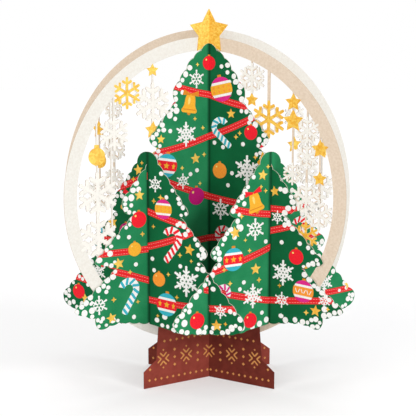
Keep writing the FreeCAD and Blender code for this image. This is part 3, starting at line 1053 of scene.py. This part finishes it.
class CARD_OT_snow(bpy.types.Operator):
    """Print the snow along the edges of the trees"""

    bl_idname = "card.snow"
    bl_label = "Snow"

    def execute(self, context):
        card = sizes()
        draw = random.Random(SNOW_DRAW)
        prints = Prints()
        for arm_name in TREE_ARMS:
            arm = arms()[arm_name]
            tips = SMALL_TIPS if arm_name in ("LT", "RT") else BIG_TIPS
            top = max(point[1] for point in arm.outline)
            lumps = []
            for place, inward in edge_walk(arm.outline, draw):
                reach = abs(place[0])
                slot = min(abs(reach - card.crossing), reach)
                if slot < BARE_SLOT or place[1] > top - BARE_TOP:
                    continue
                gap = min(math.hypot(reach - tip[0] * MM, place[1] - tip[1] * MM) for tip in tips)
                rows = SNOW_ROWS if gap < SNOW_REACH else SPARSE_ROWS
                for chance, nearest, farthest in rows:
                    if draw.random() > chance:
                        continue
                    width = draw.uniform(card.snow_small, card.snow_large)
                    depth = draw.uniform(nearest, farthest) * MM
                    spot = (place[0] + inward[0] * depth, place[1] + inward[1] * depth)
                    if arm.inside(*spot) and all(
                            math.dist(spot, other) > SNOW_CROWDING * (width + other_width)
                            for other, other_width in lumps):
                        lumps.append((spot, width))
                        prints.stamp("dot", "white", arm_name, spot, width,
                                     width * draw.uniform(0.85, 1.15), draw.uniform(1.5, 3.0))
        for arm_name, spot in everywhere(DOTS):
            if arms()[arm_name].inside(*mm(*spot)):
                prints.stamp("dot", "white", arm_name, mm(*spot), card.snow_dot, card.snow_dot, 2)
        prints.finish("snow", "tree_print", inks("white"))
        return {"FINISHED"}


# Baubles: (arm, place, width, turn in degrees, design)
BAUBLES = (
    ("FL", (-0.1, 172.1), 7.4, 0, "scarlet"),
    ("FR", (0.1, 172.1), 7.4, 0, "scarlet"),
    ("FL", (-25.8, 119.4), 12.4, 10, "starry"),
    ("FL", (-7.8, 101.9), 9.4, 0, "magenta"),
    ("FL", (-42.2, 92.4), 8.6, 0, "scarlet"),
    ("FL", (-44.8, 77.0), 7.4, 0, "gold"),
    ("FL", (-15.0, 77.0), 8.4, 0, "orange"),
    ("FR", (7.6, 158.6), 12.8, -12, "dotted"),
    ("FR", (25.2, 136.7), 7.6, 0, "scarlet"),
    ("FR", (6.6, 115.6), 8.4, 0, "orange"),
    ("FR", (52.2, 73.8), 8.2, 0, "scarlet"),
    ("FR", (56.5, 56.0), 11.6, 4, "zigzag"),
    ("LT", (9.6, 98.2), 10.2, 0, "dotted"),
    ("LT", (6.6, 60.8), 7.6, 0, "orange"),
    ("LT", (11.3, 47.8), 12.2, 4, "starry"),
    ("LT", (-46.4, 47.5), 8.0, 0, "scarlet"),
    ("LT", (-14.0, 84.6), 8.2, 0, "magenta"),
    ("LT", (-22.0, 52.0), 11.4, -4, "zigzag"),
    ("RT", (-22.4, 73.2), 12.0, 0, "starry"),
    ("RT", (-43.9, 43.8), 8.4, 0, "scarlet"),
    ("RT", (-11.9, 39.4), 8.0, 0, "scarlet"),
    ("RT", (18.0, 59.0), 11.4, 5, "dotted"),
    ("RT", (9.0, 87.4), 7.6, 0, "orange"),
)
# Designs with bands, by the colours of their ends and of their belt. The others are plain.
BANDED = {"starry": ("teal", "scarlet"), "dotted": ("pink", "gold"), "zigzag": ("pink", "orange")}
ZIGZAG_LEAN = math.radians(24)


class Motif:
    """One print of several parts, which are sized and placed as shares of its size."""

    def __init__(self, prints, arm_name, place, size, turn):
        self.prints = prints
        self.arm_name = arm_name
        self.place = mm(*place)
        self.size = size * MM
        self.turn = math.radians(turn)

    def part(self, name, ink, across, down, layer, x=0.0, z=0.0, lean=0.0):
        """Lay one part, which may lean more than the motif does."""
        shift = (self.size * (x * math.cos(lean) - z * math.sin(lean)),
                 self.size * (x * math.sin(lean) + z * math.cos(lean)))
        self.prints.stamp(name, ink, self.arm_name, self.place, across * self.size,
                          down * self.size, layer, self.turn + lean, shift)


def lay_bauble(prints, arm_name, place, width, turn, design):
    """A bauble with its cap, bands and small ornaments."""
    bauble = Motif(prints, arm_name, place, width, turn)
    bauble.part("bar", "amber", 0.17, 0.13, 2.6, 0.0, 0.53)
    if design not in BANDED:
        bauble.part("ball", design, 1.0, 1.0, 3)
        bauble.part("dot", "glow", 0.13, 0.13, 5, -0.22, 0.24)
        return
    trim, belt = BANDED[design]
    bauble.part("ball", "white", 1.0, 1.0, 3)
    bauble.part("cap", trim, 1.01, 1.01, 4)
    bauble.part("cup", trim, 1.01, 1.01, 4)
    bauble.part("belt", belt, 1.01, 1.1, 4)
    if design == "starry":
        for x, across in ((-0.34, 0.2), (0.0, 0.3), (0.34, 0.2)):
            bauble.part("star", "gold", across, 0.3, 5, x)
    elif design == "dotted":
        for number in range(4):
            for row in (-1, 1):
                bauble.part("dot", "orange", 0.1, 0.1, 5, (number - 1.5) * 0.24, row * 0.09)
    else:
        for number in range(6):
            lean = ZIGZAG_LEAN if number % 2 else -ZIGZAG_LEAN
            bauble.part("bar", "white", 0.035, 0.2, 5, (number - 2.5) * 0.14, 0.0, lean)


class CARD_OT_baubles(bpy.types.Operator):
    """Print the baubles on the trees"""

    bl_idname = "card.baubles"
    bl_label = "Baubles"

    def execute(self, context):
        prints = Prints()
        for row in everywhere(BAUBLES):
            lay_bauble(prints, *row)
        prints.finish("bauble", "tree_print", inks(
            "white", "teal", "pink", "scarlet", "magenta", "orange", "gold", "amber", "glow"))
        return {"FINISHED"}


# Printed flakes: (arm, place, width, shape)
FLAKES = (
    ("FL", (-7.6, 163.9), 9.4, "small_flake"),
    ("FL", (-14.0, 135.3), 12.8, "flake"),
    ("FL", (-16.0, 110.6), 8.0, "small_flake"),
    ("FL", (-65.5, 49.8), 10.0, "small_flake"),
    ("FL", (-16.0, 62.0), 12.0, "flake"),
    ("FR", (23.1, 116.9), 15.4, "flake"),
    ("FR", (7.2, 94.8), 11.0, "small_flake"),
    ("FR", (41.2, 93.5), 7.0, "small_flake"),
    ("FR", (44.8, 64.5), 13.4, "flake"),
    ("FR", (44.2, 49.9), 8.4, "small_flake"),
    ("FR", (68.4, 52.6), 7.0, "small_flake"),
    ("FR", (16.0, 56.0), 10.0, "small_flake"),
    ("LT", (4.8, 110.9), 8.2, "small_flake"),
    ("LT", (23.4, 61.8), 16.0, "flake"),
    ("LT", (43.6, 48.8), 7.6, "small_flake"),
    ("LT", (-33.0, 60.4), 11.0, "flake"),
    ("LT", (-12.6, 65.0), 9.0, "small_flake"),
    ("RT", (-9.2, 87.7), 11.4, "small_flake"),
    ("RT", (-10.4, 52.4), 13.0, "flake"),
    ("RT", (5.8, 111.7), 6.0, "small_flake"),
    ("RT", (26.0, 68.6), 9.0, "small_flake"),
    ("RT", (36.0, 54.0), 12.0, "flake"),
)

# Printed gold stars, (arm, place, width), and sparks, (arm, place)
STARS = (
    ("FL", (-8.3, 122.1), 6.0), ("FL", (-28.9, 133.4), 5.0), ("FL", (-41.7, 105.1), 6.0),
    ("FL", (-54.0, 70.4), 6.6), ("FL", (-58.6, 42.1), 6.0), ("FL", (-24.0, 70.0), 5.6),
    ("FR", (13.4, 146.0), 5.4), ("FR", (39.4, 107.0), 5.8), ("FR", (63.6, 46.6), 6.4),
    ("FR", (24.0, 72.0), 5.6), ("FR", (30.0, 62.0), 5.2),
    ("LT", (25.3, 78.6), 6.4), ("LT", (41.5, 41.0), 6.4), ("LT", (-5.6, 117.6), 6.0),
    ("LT", (-22.6, 88.4), 6.6), ("LT", (-42.0, 44.0), 5.6),
    ("RT", (-4.8, 115.6), 6.0), ("RT", (-21.4, 87.1), 6.8), ("RT", (-8.8, 66.6), 6.4),
    ("RT", (4.0, 103.0), 5.4), ("RT", (52.7, 50.6), 6.2), ("RT", (30.0, 44.0), 5.6),
)
SPARKS = (
    ("FL", (-7.0, 171.4)), ("FL", (-8.6, 143.2)), ("FL", (-3.8, 138.2)), ("FL", (-3.0, 124.0)),
    ("FL", (-16.4, 117.6)), ("FL", (-40.2, 84.6)), ("FL", (-47.6, 65.2)), ("FL", (-57.2, 51.7)),
    ("FL", (-43.3, 48.7)), ("FL", (-5.6, 108.6)), ("FL", (-5.0, 70.0)),
    ("FR", (18.6, 136.0)), ("FR", (16.4, 134.0)), ("FR", (28.0, 124.0)), ("FR", (42.9, 57.4)),
    ("FR", (57.9, 68.6)), ("FR", (70.4, 48.4)), ("FR", (58.4, 45.0)), ("FR", (12.0, 75.0)),
    ("FR", (28.0, 54.0)),
    ("LT", (8.0, 104.2)), ("LT", (3.8, 102.0)), ("LT", (3.4, 88.6)), ("LT", (12.4, 64.2)),
    ("LT", (19.6, 75.2)), ("LT", (26.4, 72.8)), ("LT", (17.6, 52.6)), ("LT", (32.0, 58.0)),
    ("LT", (46.6, 42.6)), ("LT", (5.6, 41.0)), ("LT", (-8.8, 112.6)), ("LT", (-3.4, 121.4)),
    ("RT", (-5.8, 109.6)), ("RT", (-3.0, 107.4)), ("RT", (-17.6, 95.2)), ("RT", (-15.2, 82.6)),
    ("RT", (-12.6, 76.8)), ("RT", (-28.0, 68.4)), ("RT", (-6.6, 60.6)), ("RT", (-24.4, 60.8)),
    ("RT", (6.0, 69.0)), ("RT", (14.0, 96.0)), ("RT", (-1.6, 119.8)),
)
# Seed of the stars' random draws, and how far they may tilt in degrees
STAR_DRAW = 7
STAR_TILT = 14


class CARD_OT_flakes(bpy.types.Operator):
    """Print the white flakes on the trees"""

    bl_idname = "card.flakes"
    bl_label = "Printed flakes"

    def execute(self, context):
        prints = Prints()
        for arm_name, place, width, name in everywhere(FLAKES):
            prints.stamp(name, "white", arm_name, mm(*place), width * MM, width * MM, 4)
        prints.finish("flake", "tree_print", inks("white"))
        return {"FINISHED"}


class CARD_OT_stars(bpy.types.Operator):
    """Print the gold stars and sparks on the trees"""

    bl_idname = "card.stars"
    bl_label = "Printed stars"

    def execute(self, context):
        prints = Prints()
        draw = random.Random(STAR_DRAW)
        for arm_name, place, width in everywhere(STARS):
            turn = math.radians(draw.uniform(-STAR_TILT, STAR_TILT))
            prints.stamp("star", "foil", arm_name, mm(*place), width * MM, width * MM, 3, turn)
        for arm_name, place in everywhere(SPARKS):
            width = sizes().spark * draw.uniform(0.8, 1.2)
            prints.stamp("spark", "foil", arm_name, mm(*place), width, width, 3)
        finishes = {"foil": foil_finish("foil_print", 1.6 * MM, 0.35)}
        prints.finish("star", "tree_print", finishes)
        return {"FINISHED"}


# Canes: (arm, place, height, turn in degrees, hook to the left, colour)
CANES = (
    ("FR", (9.2, 136.8), 16.6, -50, False, "teal"),
    ("LT", (13.0, 80.9), 18.8, 38, True, "scarlet"),
    ("FL", (-50.2, 53.4), 18.8, 32, True, "teal"),
    ("RT", (-29.4, 53.6), 15.0, 16, False, "pink"),
    ("RT", (17.0, 84.6), 16.0, 40, True, "scarlet"),
    ("FR", (10.5, 78.6), 16.0, -34, True, "scarlet"),
    ("FR", (26.0, 84.0), 15.0, 20, True, "pink"),
    ("LT", (-30.0, 78.0), 15.0, -24, False, "teal"),
)
BOW_LEAN = math.radians(80)
# Bells: (arm, place, height, turn in degrees, bow)
BELLS = (
    ("FL", (-11.6, 151.4), 10.0, 8, "amber"),
    ("RT", (-9.4, 102.0), 10.4, -14, "scarlet"),
    ("FR", (34.0, 124.0), 9.0, 12, "scarlet"),
    ("LT", (-12.0, 100.0), 9.6, 14, "scarlet"),
)


def lay_bell(prints, arm_name, place, height, turn, bow):
    """A bell with its clapper, rim, light spot and bow."""
    bell = Motif(prints, arm_name, place, height, turn)
    bell.part("dot", "amber", 0.2, 0.2, 3, 0.0, -0.52)
    bell.part("bell", "gold", 0.92, 1.0, 4)
    bell.part("bar", "amber", 0.82, 0.05, 5, 0.0, -0.33)
    bell.part("dot", "glow", 0.14, 0.4, 5, -0.06, 0.12)
    for side in (-1, 1):
        bell.part("wing", bow, 0.3, 0.46, 5, side * 0.24, 0.5, side * BOW_LEAN)


class CARD_OT_canes(bpy.types.Operator):
    """Print the striped canes and the bells on the trees"""

    bl_idname = "card.canes"
    bl_label = "Canes and bells"

    def execute(self, context):
        prints = Prints()
        for arm_name, place, height, turn, left, ink in everywhere(CANES):
            tall = height * MM
            for name, tint, layer in (("cane", "white", 3), ("stripes", ink, 4)):
                prints.stamp(name, tint, arm_name, mm(*place), tall, tall, layer,
                             math.radians(turn if left else -turn), flip=not left)
        for row in everywhere(BELLS):
            lay_bell(prints, *row)
        prints.finish("treat", "tree_print", inks(
            "white", "teal", "scarlet", "pink", "gold", "amber", "glow"))
        return {"FINISHED"}


# A coat on a hanging cut-out is this much wider than it
COAT_SPREAD = 1.02
# Gold foil on the hanging cut-outs: (arm, place, radius, shape)
FOILS = (
    ("ring_FL", (-33.4, 168.8), 3.4, "cut_star"), ("ring_FL", (-33.4, 138.3), 4.6, "cut_star"),
    ("ring_FL", (-48.0, 157.6), 7.8, "cut_flake"), ("ring_FL", (-65.2, 126.4), 4.4, "ball"),
    ("ring_FL", (-57.4, 73.2), 4.0, "cut_star"),
    ("ring_FR", (25.6, 153.5), 3.6, "cut_star"), ("ring_FR", (35.5, 143.8), 9.4, "cut_flake"),
    ("ring_FR", (49.4, 153.0), 4.6, "cut_star"), ("ring_FR", (49.4, 143.6), 5.8, "cut_star"),
    ("ring_FR", (57.4, 85.2), 7.0, "cut_flake"), ("ring_FR", (64.6, 130.0), 4.8, "cut_star"),
    ("ring_FR", (64.6, 115.0), 3.8, "cut_star"),
    ("ring_BL", (-72.6, 133.6), 5.0, "cut_star"), ("ring_BL", (-72.6, 116.0), 4.4, "ball"),
    ("ring_BR", (55.4, 126.0), 4.6, "cut_star"), ("ring_BR", (75.4, 122.0), 4.4, "cut_star"),
)


class CARD_OT_foils(bpy.types.Operator):
    """Lay gold foil on the hanging stars, balls and flakes"""

    bl_idname = "card.foils"
    bl_label = "Gold foils"

    def execute(self, context):
        prints = Prints()
        for arm_name, place, radius, name in FOILS:
            width = COAT_SPREAD * 2 * radius * MM
            prints.stamp(name, "foil", arm_name, mm(*place), width, width, 1)
            if name == "ball":
                prints.stamp("bar", "foil", arm_name, mm(*place), 0.28 * width, 0.26 * width, 0.5,
                             0.0, (0, 0.53 * width))
        finishes = {"foil": foil_finish("foil_hanging", 1.1 * MM, 0.35)}
        prints.finish("hanging", "gold_glitter", finishes, trimmed=False)
        return {"FINISHED"}


# Cream flakes that hang in the rings: (arm, place, radius)
CREAM_FLAKES = (
    ("ring_FL", (-33.4, 151.9), 10.2), ("ring_FL", (-55.5, 137.6), 8.4),
    ("ring_FL", (-65.2, 107.0), 11.0), ("ring_FL", (-65.2, 84.5), 10.6),
    ("ring_FR", (25.6, 164.6), 7.6), ("ring_FR", (49.4, 116.6), 5.6),
    ("ring_FR", (57.4, 139.0), 6.8), ("ring_FR", (57.4, 126.0), 6.4),
    ("ring_FR", (57.4, 104.0), 8.4), ("ring_FR", (64.6, 96.6), 7.6),
    ("ring_BL", (-62.4, 146.0), 6.4), ("ring_BL", (-62.4, 124.0), 8.2),
    ("ring_BL", (-62.4, 106.0), 6.8), ("ring_BL", (-72.6, 96.6), 8.2),
    ("ring_BR", (55.4, 142.0), 7.0), ("ring_BR", (64.8, 128.0), 6.2),
    ("ring_BR", (64.8, 110.0), 8.0), ("ring_BR", (64.8, 88.0), 6.2),
    ("ring_BR", (75.4, 100.0), 8.6),
)


class CARD_OT_lace(bpy.types.Operator):
    """Whiten the hanging cream flakes and add their finest cuts"""

    bl_idname = "card.lace"
    bl_label = "Lace of the flakes"

    def execute(self, context):
        prints = Prints()
        for arm_name, place, radius in CREAM_FLAKES:
            width = 2 * radius * MM
            coat = COAT_SPREAD * width
            prints.stamp("cut_flake", "lace", arm_name, mm(*place), coat, coat, 0)
            prints.stamp("lace", "lace", arm_name, mm(*place), width, width, -3)
        # partly painted shade: the flakes' cut edges take the darkened edge colour
        paper = card_finish(
            "hanging_paper", ("lace", "cream"), ("lace", "cream"), "singed_and_shaded_lace_edge",
            1.1 * MM, 0.4 * MM, 0.05 * MM)
        prints.finish("hanging", "cream_card", {"lace": paper}, trimmed=False)
        return {"FINISHED"}


# Knitted pattern of the trunk, in millimetres from the fold and the foot: crosses of chevrons
# with diamonds over, under and between them, a row of diamonds at the top and one at the foot
CROSS_REACHES = (0.0, 14.4, 28.5)
CROSS_HEIGHT = 15.0
CROSS_WIDTH = 9.4
CHEVRON_LEAN = math.radians(42)
OVER_CROSS = 4.9
BESIDE_CROSS = 7.2
BESIDE_STEP = 4.2
ROW_STEP = 3.7
TOP_ROW = 24.7
TOP_COUNT = 8
FOOT_ROW = 4.2
FOOT_COUNT = 11
FOOT_STEP = 0.97 * ROW_STEP
END_DIAMOND = (36.6, 10.2)


class CARD_OT_knit(bpy.types.Operator):
    """Print the knitted pattern on the trunk"""

    bl_idname = "card.knit"
    bl_label = "Knitted pattern"

    def execute(self, context):
        prints = Prints()
        for corner in ("FL", "FR", "BL", "BR"):
            self.knit(prints, "trunk_" + corner, -1 if corner.endswith("L") else 1)
        prints.finish("trunk", "brown_print", inks("knit"))
        return {"FINISHED"}

    def knit(self, prints, arm_name, side):
        """The pattern of one arm."""
        def diamond(reach, height, width=1.15):
            prints.stamp("bar", "knit", arm_name, mm(side * reach, height), width * MM, width * MM,
                         1, math.radians(45))

        for reach in CROSS_REACHES:
            for number in range(4):
                self.chevron(prints, arm_name, side * reach, number * QUARTER, side)
            if reach:
                diamond(reach, CROSS_HEIGHT + OVER_CROSS, 0.9)
                diamond(reach, CROSS_HEIGHT - OVER_CROSS, 0.9)
            if reach != CROSS_REACHES[-1]:
                for step_up in (-1, 0, 1):
                    diamond(reach + BESIDE_CROSS, CROSS_HEIGHT + step_up * BESIDE_STEP, 1.3)
        for number in range(TOP_COUNT):
            diamond((number + 0.5) * ROW_STEP, TOP_ROW)
        for number in range(FOOT_COUNT):
            diamond((number + 0.3) * FOOT_STEP, FOOT_ROW)
        diamond(*END_DIAMOND)

    def chevron(self, prints, arm_name, centre, turn, side):
        """One of the four V shapes that point at a cross's middle."""
        wide = CROSS_WIDTH * MM
        for lean in (-1, 1):
            slant = CHEVRON_LEAN * lean
            x = 0.5 * 0.30 * math.sin(slant) * wide
            z = (0.14 + 0.5 * 0.30 * math.cos(slant)) * wide
            place = (centre * MM + x * math.cos(turn) + z * math.sin(turn),
                     CROSS_HEIGHT * MM - x * math.sin(turn) + z * math.cos(turn))
            if place[0] * side > -0.05 * MM:
                prints.stamp("bar", "knit", arm_name, place, 0.085 * wide, 0.31 * wide,
                             1 + 0.3 * lean, turn + slant)


class CARD_OT_papers(bpy.types.Operator):
    """Give the sheets their printed, dyed and glittered papers, with painted light and shade on the
    arms by how they face the lamp, and painted shade in the trees' folds
    """

    bl_idname = "card.papers"
    bl_label = "Papers"

    def execute(self, context):
        tree = card_finish(
            "tree_paper", ("leaf", "leaf_deep"), ("shade_leaf", "shade_deep"), "cut_edge",
            14 * MM, 0.6 * MM, 0.05 * MM, fold_shade=0.75)
        ring = card_finish(
            "ring_paper", ("cream", "cream_deep"), ("shade_cream", "shade_cream_deep"), "ring_edge",
            1.1 * MM, 0.4 * MM, 0.05 * MM)
        trunk = card_finish(
            "trunk_paper", ("bark", "bark_deep"), ("shade_bark", "shade_bark_deep"), None,
            5 * MM, 0.6 * MM, 0.06 * MM)
        glitter = foil_finish("star_glitter", 0.8 * MM, 0.3)
        for finish, nodes in (
                (tree, ("tree_front", "tree_back", "left_tree", "right_tree")),
                (ring, ("ring_front", "ring_back")),
                (trunk, ("trunk_front", "trunk_back")),
                (glitter, ("star_front", "star_back"))):
            for node in nodes:
                finish.wear(frame["nodes"][node])
        return {"FINISHED"}


# The camera, in metres, as the photograph was taken
CAMERA_DISTANCE = 0.539
CAMERA_AIM = 0.0947
CAMERA_PITCH = math.radians(9.7)
CAMERA_LENS = 86.54
CAMERA_SHIFT = -0.0024

# Lamps: name, direction they shine from, strength, spread in degrees, tint
LAMPS = (
    ("key", (0.75, -0.62, 0.50), 1.0, 14.0, (1.0, 1.0, 1.0)),
    ("fill", (-0.7, -0.8, 0.6), 0.74, 40.0, (1.0, 0.96, 0.9)),
    ("top", (0.0, 0.1, 1.0), 0.85, 30.0, (1.0, 1.0, 1.0)),
)
AMBIENT = 0.63
FLOOR_GLOW = 1.16
GLOW_SHARE = 0.3


class CARD_OT_stage(bpy.types.Operator):
    """Set the pale floor, the soft light and the camera"""

    bl_idname = "card.stage"
    bl_label = "Stage"

    def execute(self, context):
        scene = context.scene
        scene.view_settings.view_transform = "Standard"
        self.floor()
        self.world(scene)
        for lamp in LAMPS:
            self.lamp(*lamp)
        self.camera(scene)
        return {"FINISHED"}

    def floor(self):
        """A wide pale floor that glows a little, so that it runs into the background."""
        bpy.ops.object.select_all(action="DESELECT")
        bpy.ops.mesh.primitive_plane_add(size=6.0, location=(0, 0, -0.02 * MM))
        floor = settle(bpy.context.object, "floor")
        finish = Finish("floor", roughness=0.9)
        finish.shader.inputs["Base Color"].default_value = (0.86, 0.86, 0.87, 1.0)
        glow = finish.add("ShaderNodeEmission", inputs={"Strength": FLOOR_GLOW})
        mix = finish.add("ShaderNodeMixShader", inputs={
            0: finish.seen() * GLOW_SHARE, 1: finish.shader.outputs[0], 2: glow.outputs[0]})
        end = finish.tree.nodes["Material Output"]
        finish.feed(end.inputs["Surface"], mix.outputs[0])
        finish.wear(floor)

    def world(self, scene):
        """A white surround that looks brighter than the light it gives."""
        world = bpy.data.worlds.new("studio")
        scene.world = world
        world.use_nodes = True
        sky = Nodes(world.node_tree)
        background = world.node_tree.nodes["Background"]
        sky.feed(background.inputs["Color"], (1.0, 1.0, 1.0, 1.0))
        sky.feed(background.inputs["Strength"], sky.seen() * (1.0 - AMBIENT) + AMBIENT)

    def lamp(self, name, toward, strength, spread, tint):
        """A soft sun that shines from a direction."""
        bpy.ops.object.light_add(type="SUN", location=toward)
        lamp = bpy.context.object
        lamp.name = name
        lamp.data.energy = strength
        lamp.data.angle = math.radians(spread)
        lamp.data.color = tint
        lamp.rotation_euler = Vector(toward).to_track_quat("Z", "Y").to_euler()

    def camera(self, scene):
        """The camera, level with the card and looking down a little."""
        back = Vector((0.0, -math.cos(CAMERA_PITCH), math.sin(CAMERA_PITCH)))
        bpy.ops.object.camera_add(location=Vector((0, 0, CAMERA_AIM)) + back * CAMERA_DISTANCE)
        camera = bpy.context.object
        camera.rotation_euler = (QUARTER - CAMERA_PITCH, 0, 0)
        camera.data.lens = CAMERA_LENS
        camera.data.sensor_width = 36.0
        camera.data.shift_x = CAMERA_SHIFT
        camera.data.clip_start = 0.01
        camera.data.dof.use_dof = False
        scene.camera = camera


class CARD_PT_panel(bpy.types.Panel):
    """Sizes, colours and steps of the card"""

    bl_idname = "CARD_PT_panel"
    bl_label = "Pop-up tree card"
    bl_space_type = "VIEW_3D"
    bl_region_type = "UI"
    bl_category = "Card"

    def draw(self, context):
        for group in (context.scene.card_sizes, context.scene.card_colours):
            column = self.layout.column()
            for name in group.bl_rna.properties.keys():
                if name not in ("name", "rna_type"):
                    column.prop(group, name)
        for operator in STEPS:
            self.layout.operator(operator.bl_idname)


STEPS = (
    CARD_OT_stage, CARD_OT_papers, CARD_OT_ribbons, CARD_OT_snow, CARD_OT_baubles,
    CARD_OT_flakes, CARD_OT_stars, CARD_OT_canes, CARD_OT_foils, CARD_OT_lace, CARD_OT_knit,
)


def register():
    bpy.utils.register_class(CardSizes)
    bpy.utils.register_class(CardColours)
    bpy.types.Scene.card_sizes = bpy.props.PointerProperty(type=CardSizes)
    bpy.types.Scene.card_colours = bpy.props.PointerProperty(type=CardColours)
    for step_class in STEPS:
        bpy.utils.register_class(step_class)
    bpy.utils.register_class(CARD_PT_panel)


def unregister():
    bpy.utils.unregister_class(CARD_PT_panel)
    for step_class in reversed(STEPS):
        bpy.utils.unregister_class(step_class)
    del bpy.types.Scene.card_colours
    del bpy.types.Scene.card_sizes
    bpy.utils.unregister_class(CardColours)
    bpy.utils.unregister_class(CardSizes)


def clear_away():
    """Delete the shapes and blocks that only served as tools."""
    tools = list(SHAPES.values()) + [arm.block for arm in ARMS.values() if arm.block]
    for tool in tools:
        bpy.data.objects.remove(tool)


def main():
    register()
    bpy.ops.card.stage()
    bpy.ops.card.papers()
    bpy.ops.card.ribbons()
    bpy.ops.card.snow()
    bpy.ops.card.baubles()
    bpy.ops.card.flakes()
    bpy.ops.card.stars()
    bpy.ops.card.canes()
    bpy.ops.card.foils()
    bpy.ops.card.lace()
    bpy.ops.card.knit()
    clear_away()
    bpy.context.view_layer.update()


if __name__ == "__main__":
    main()
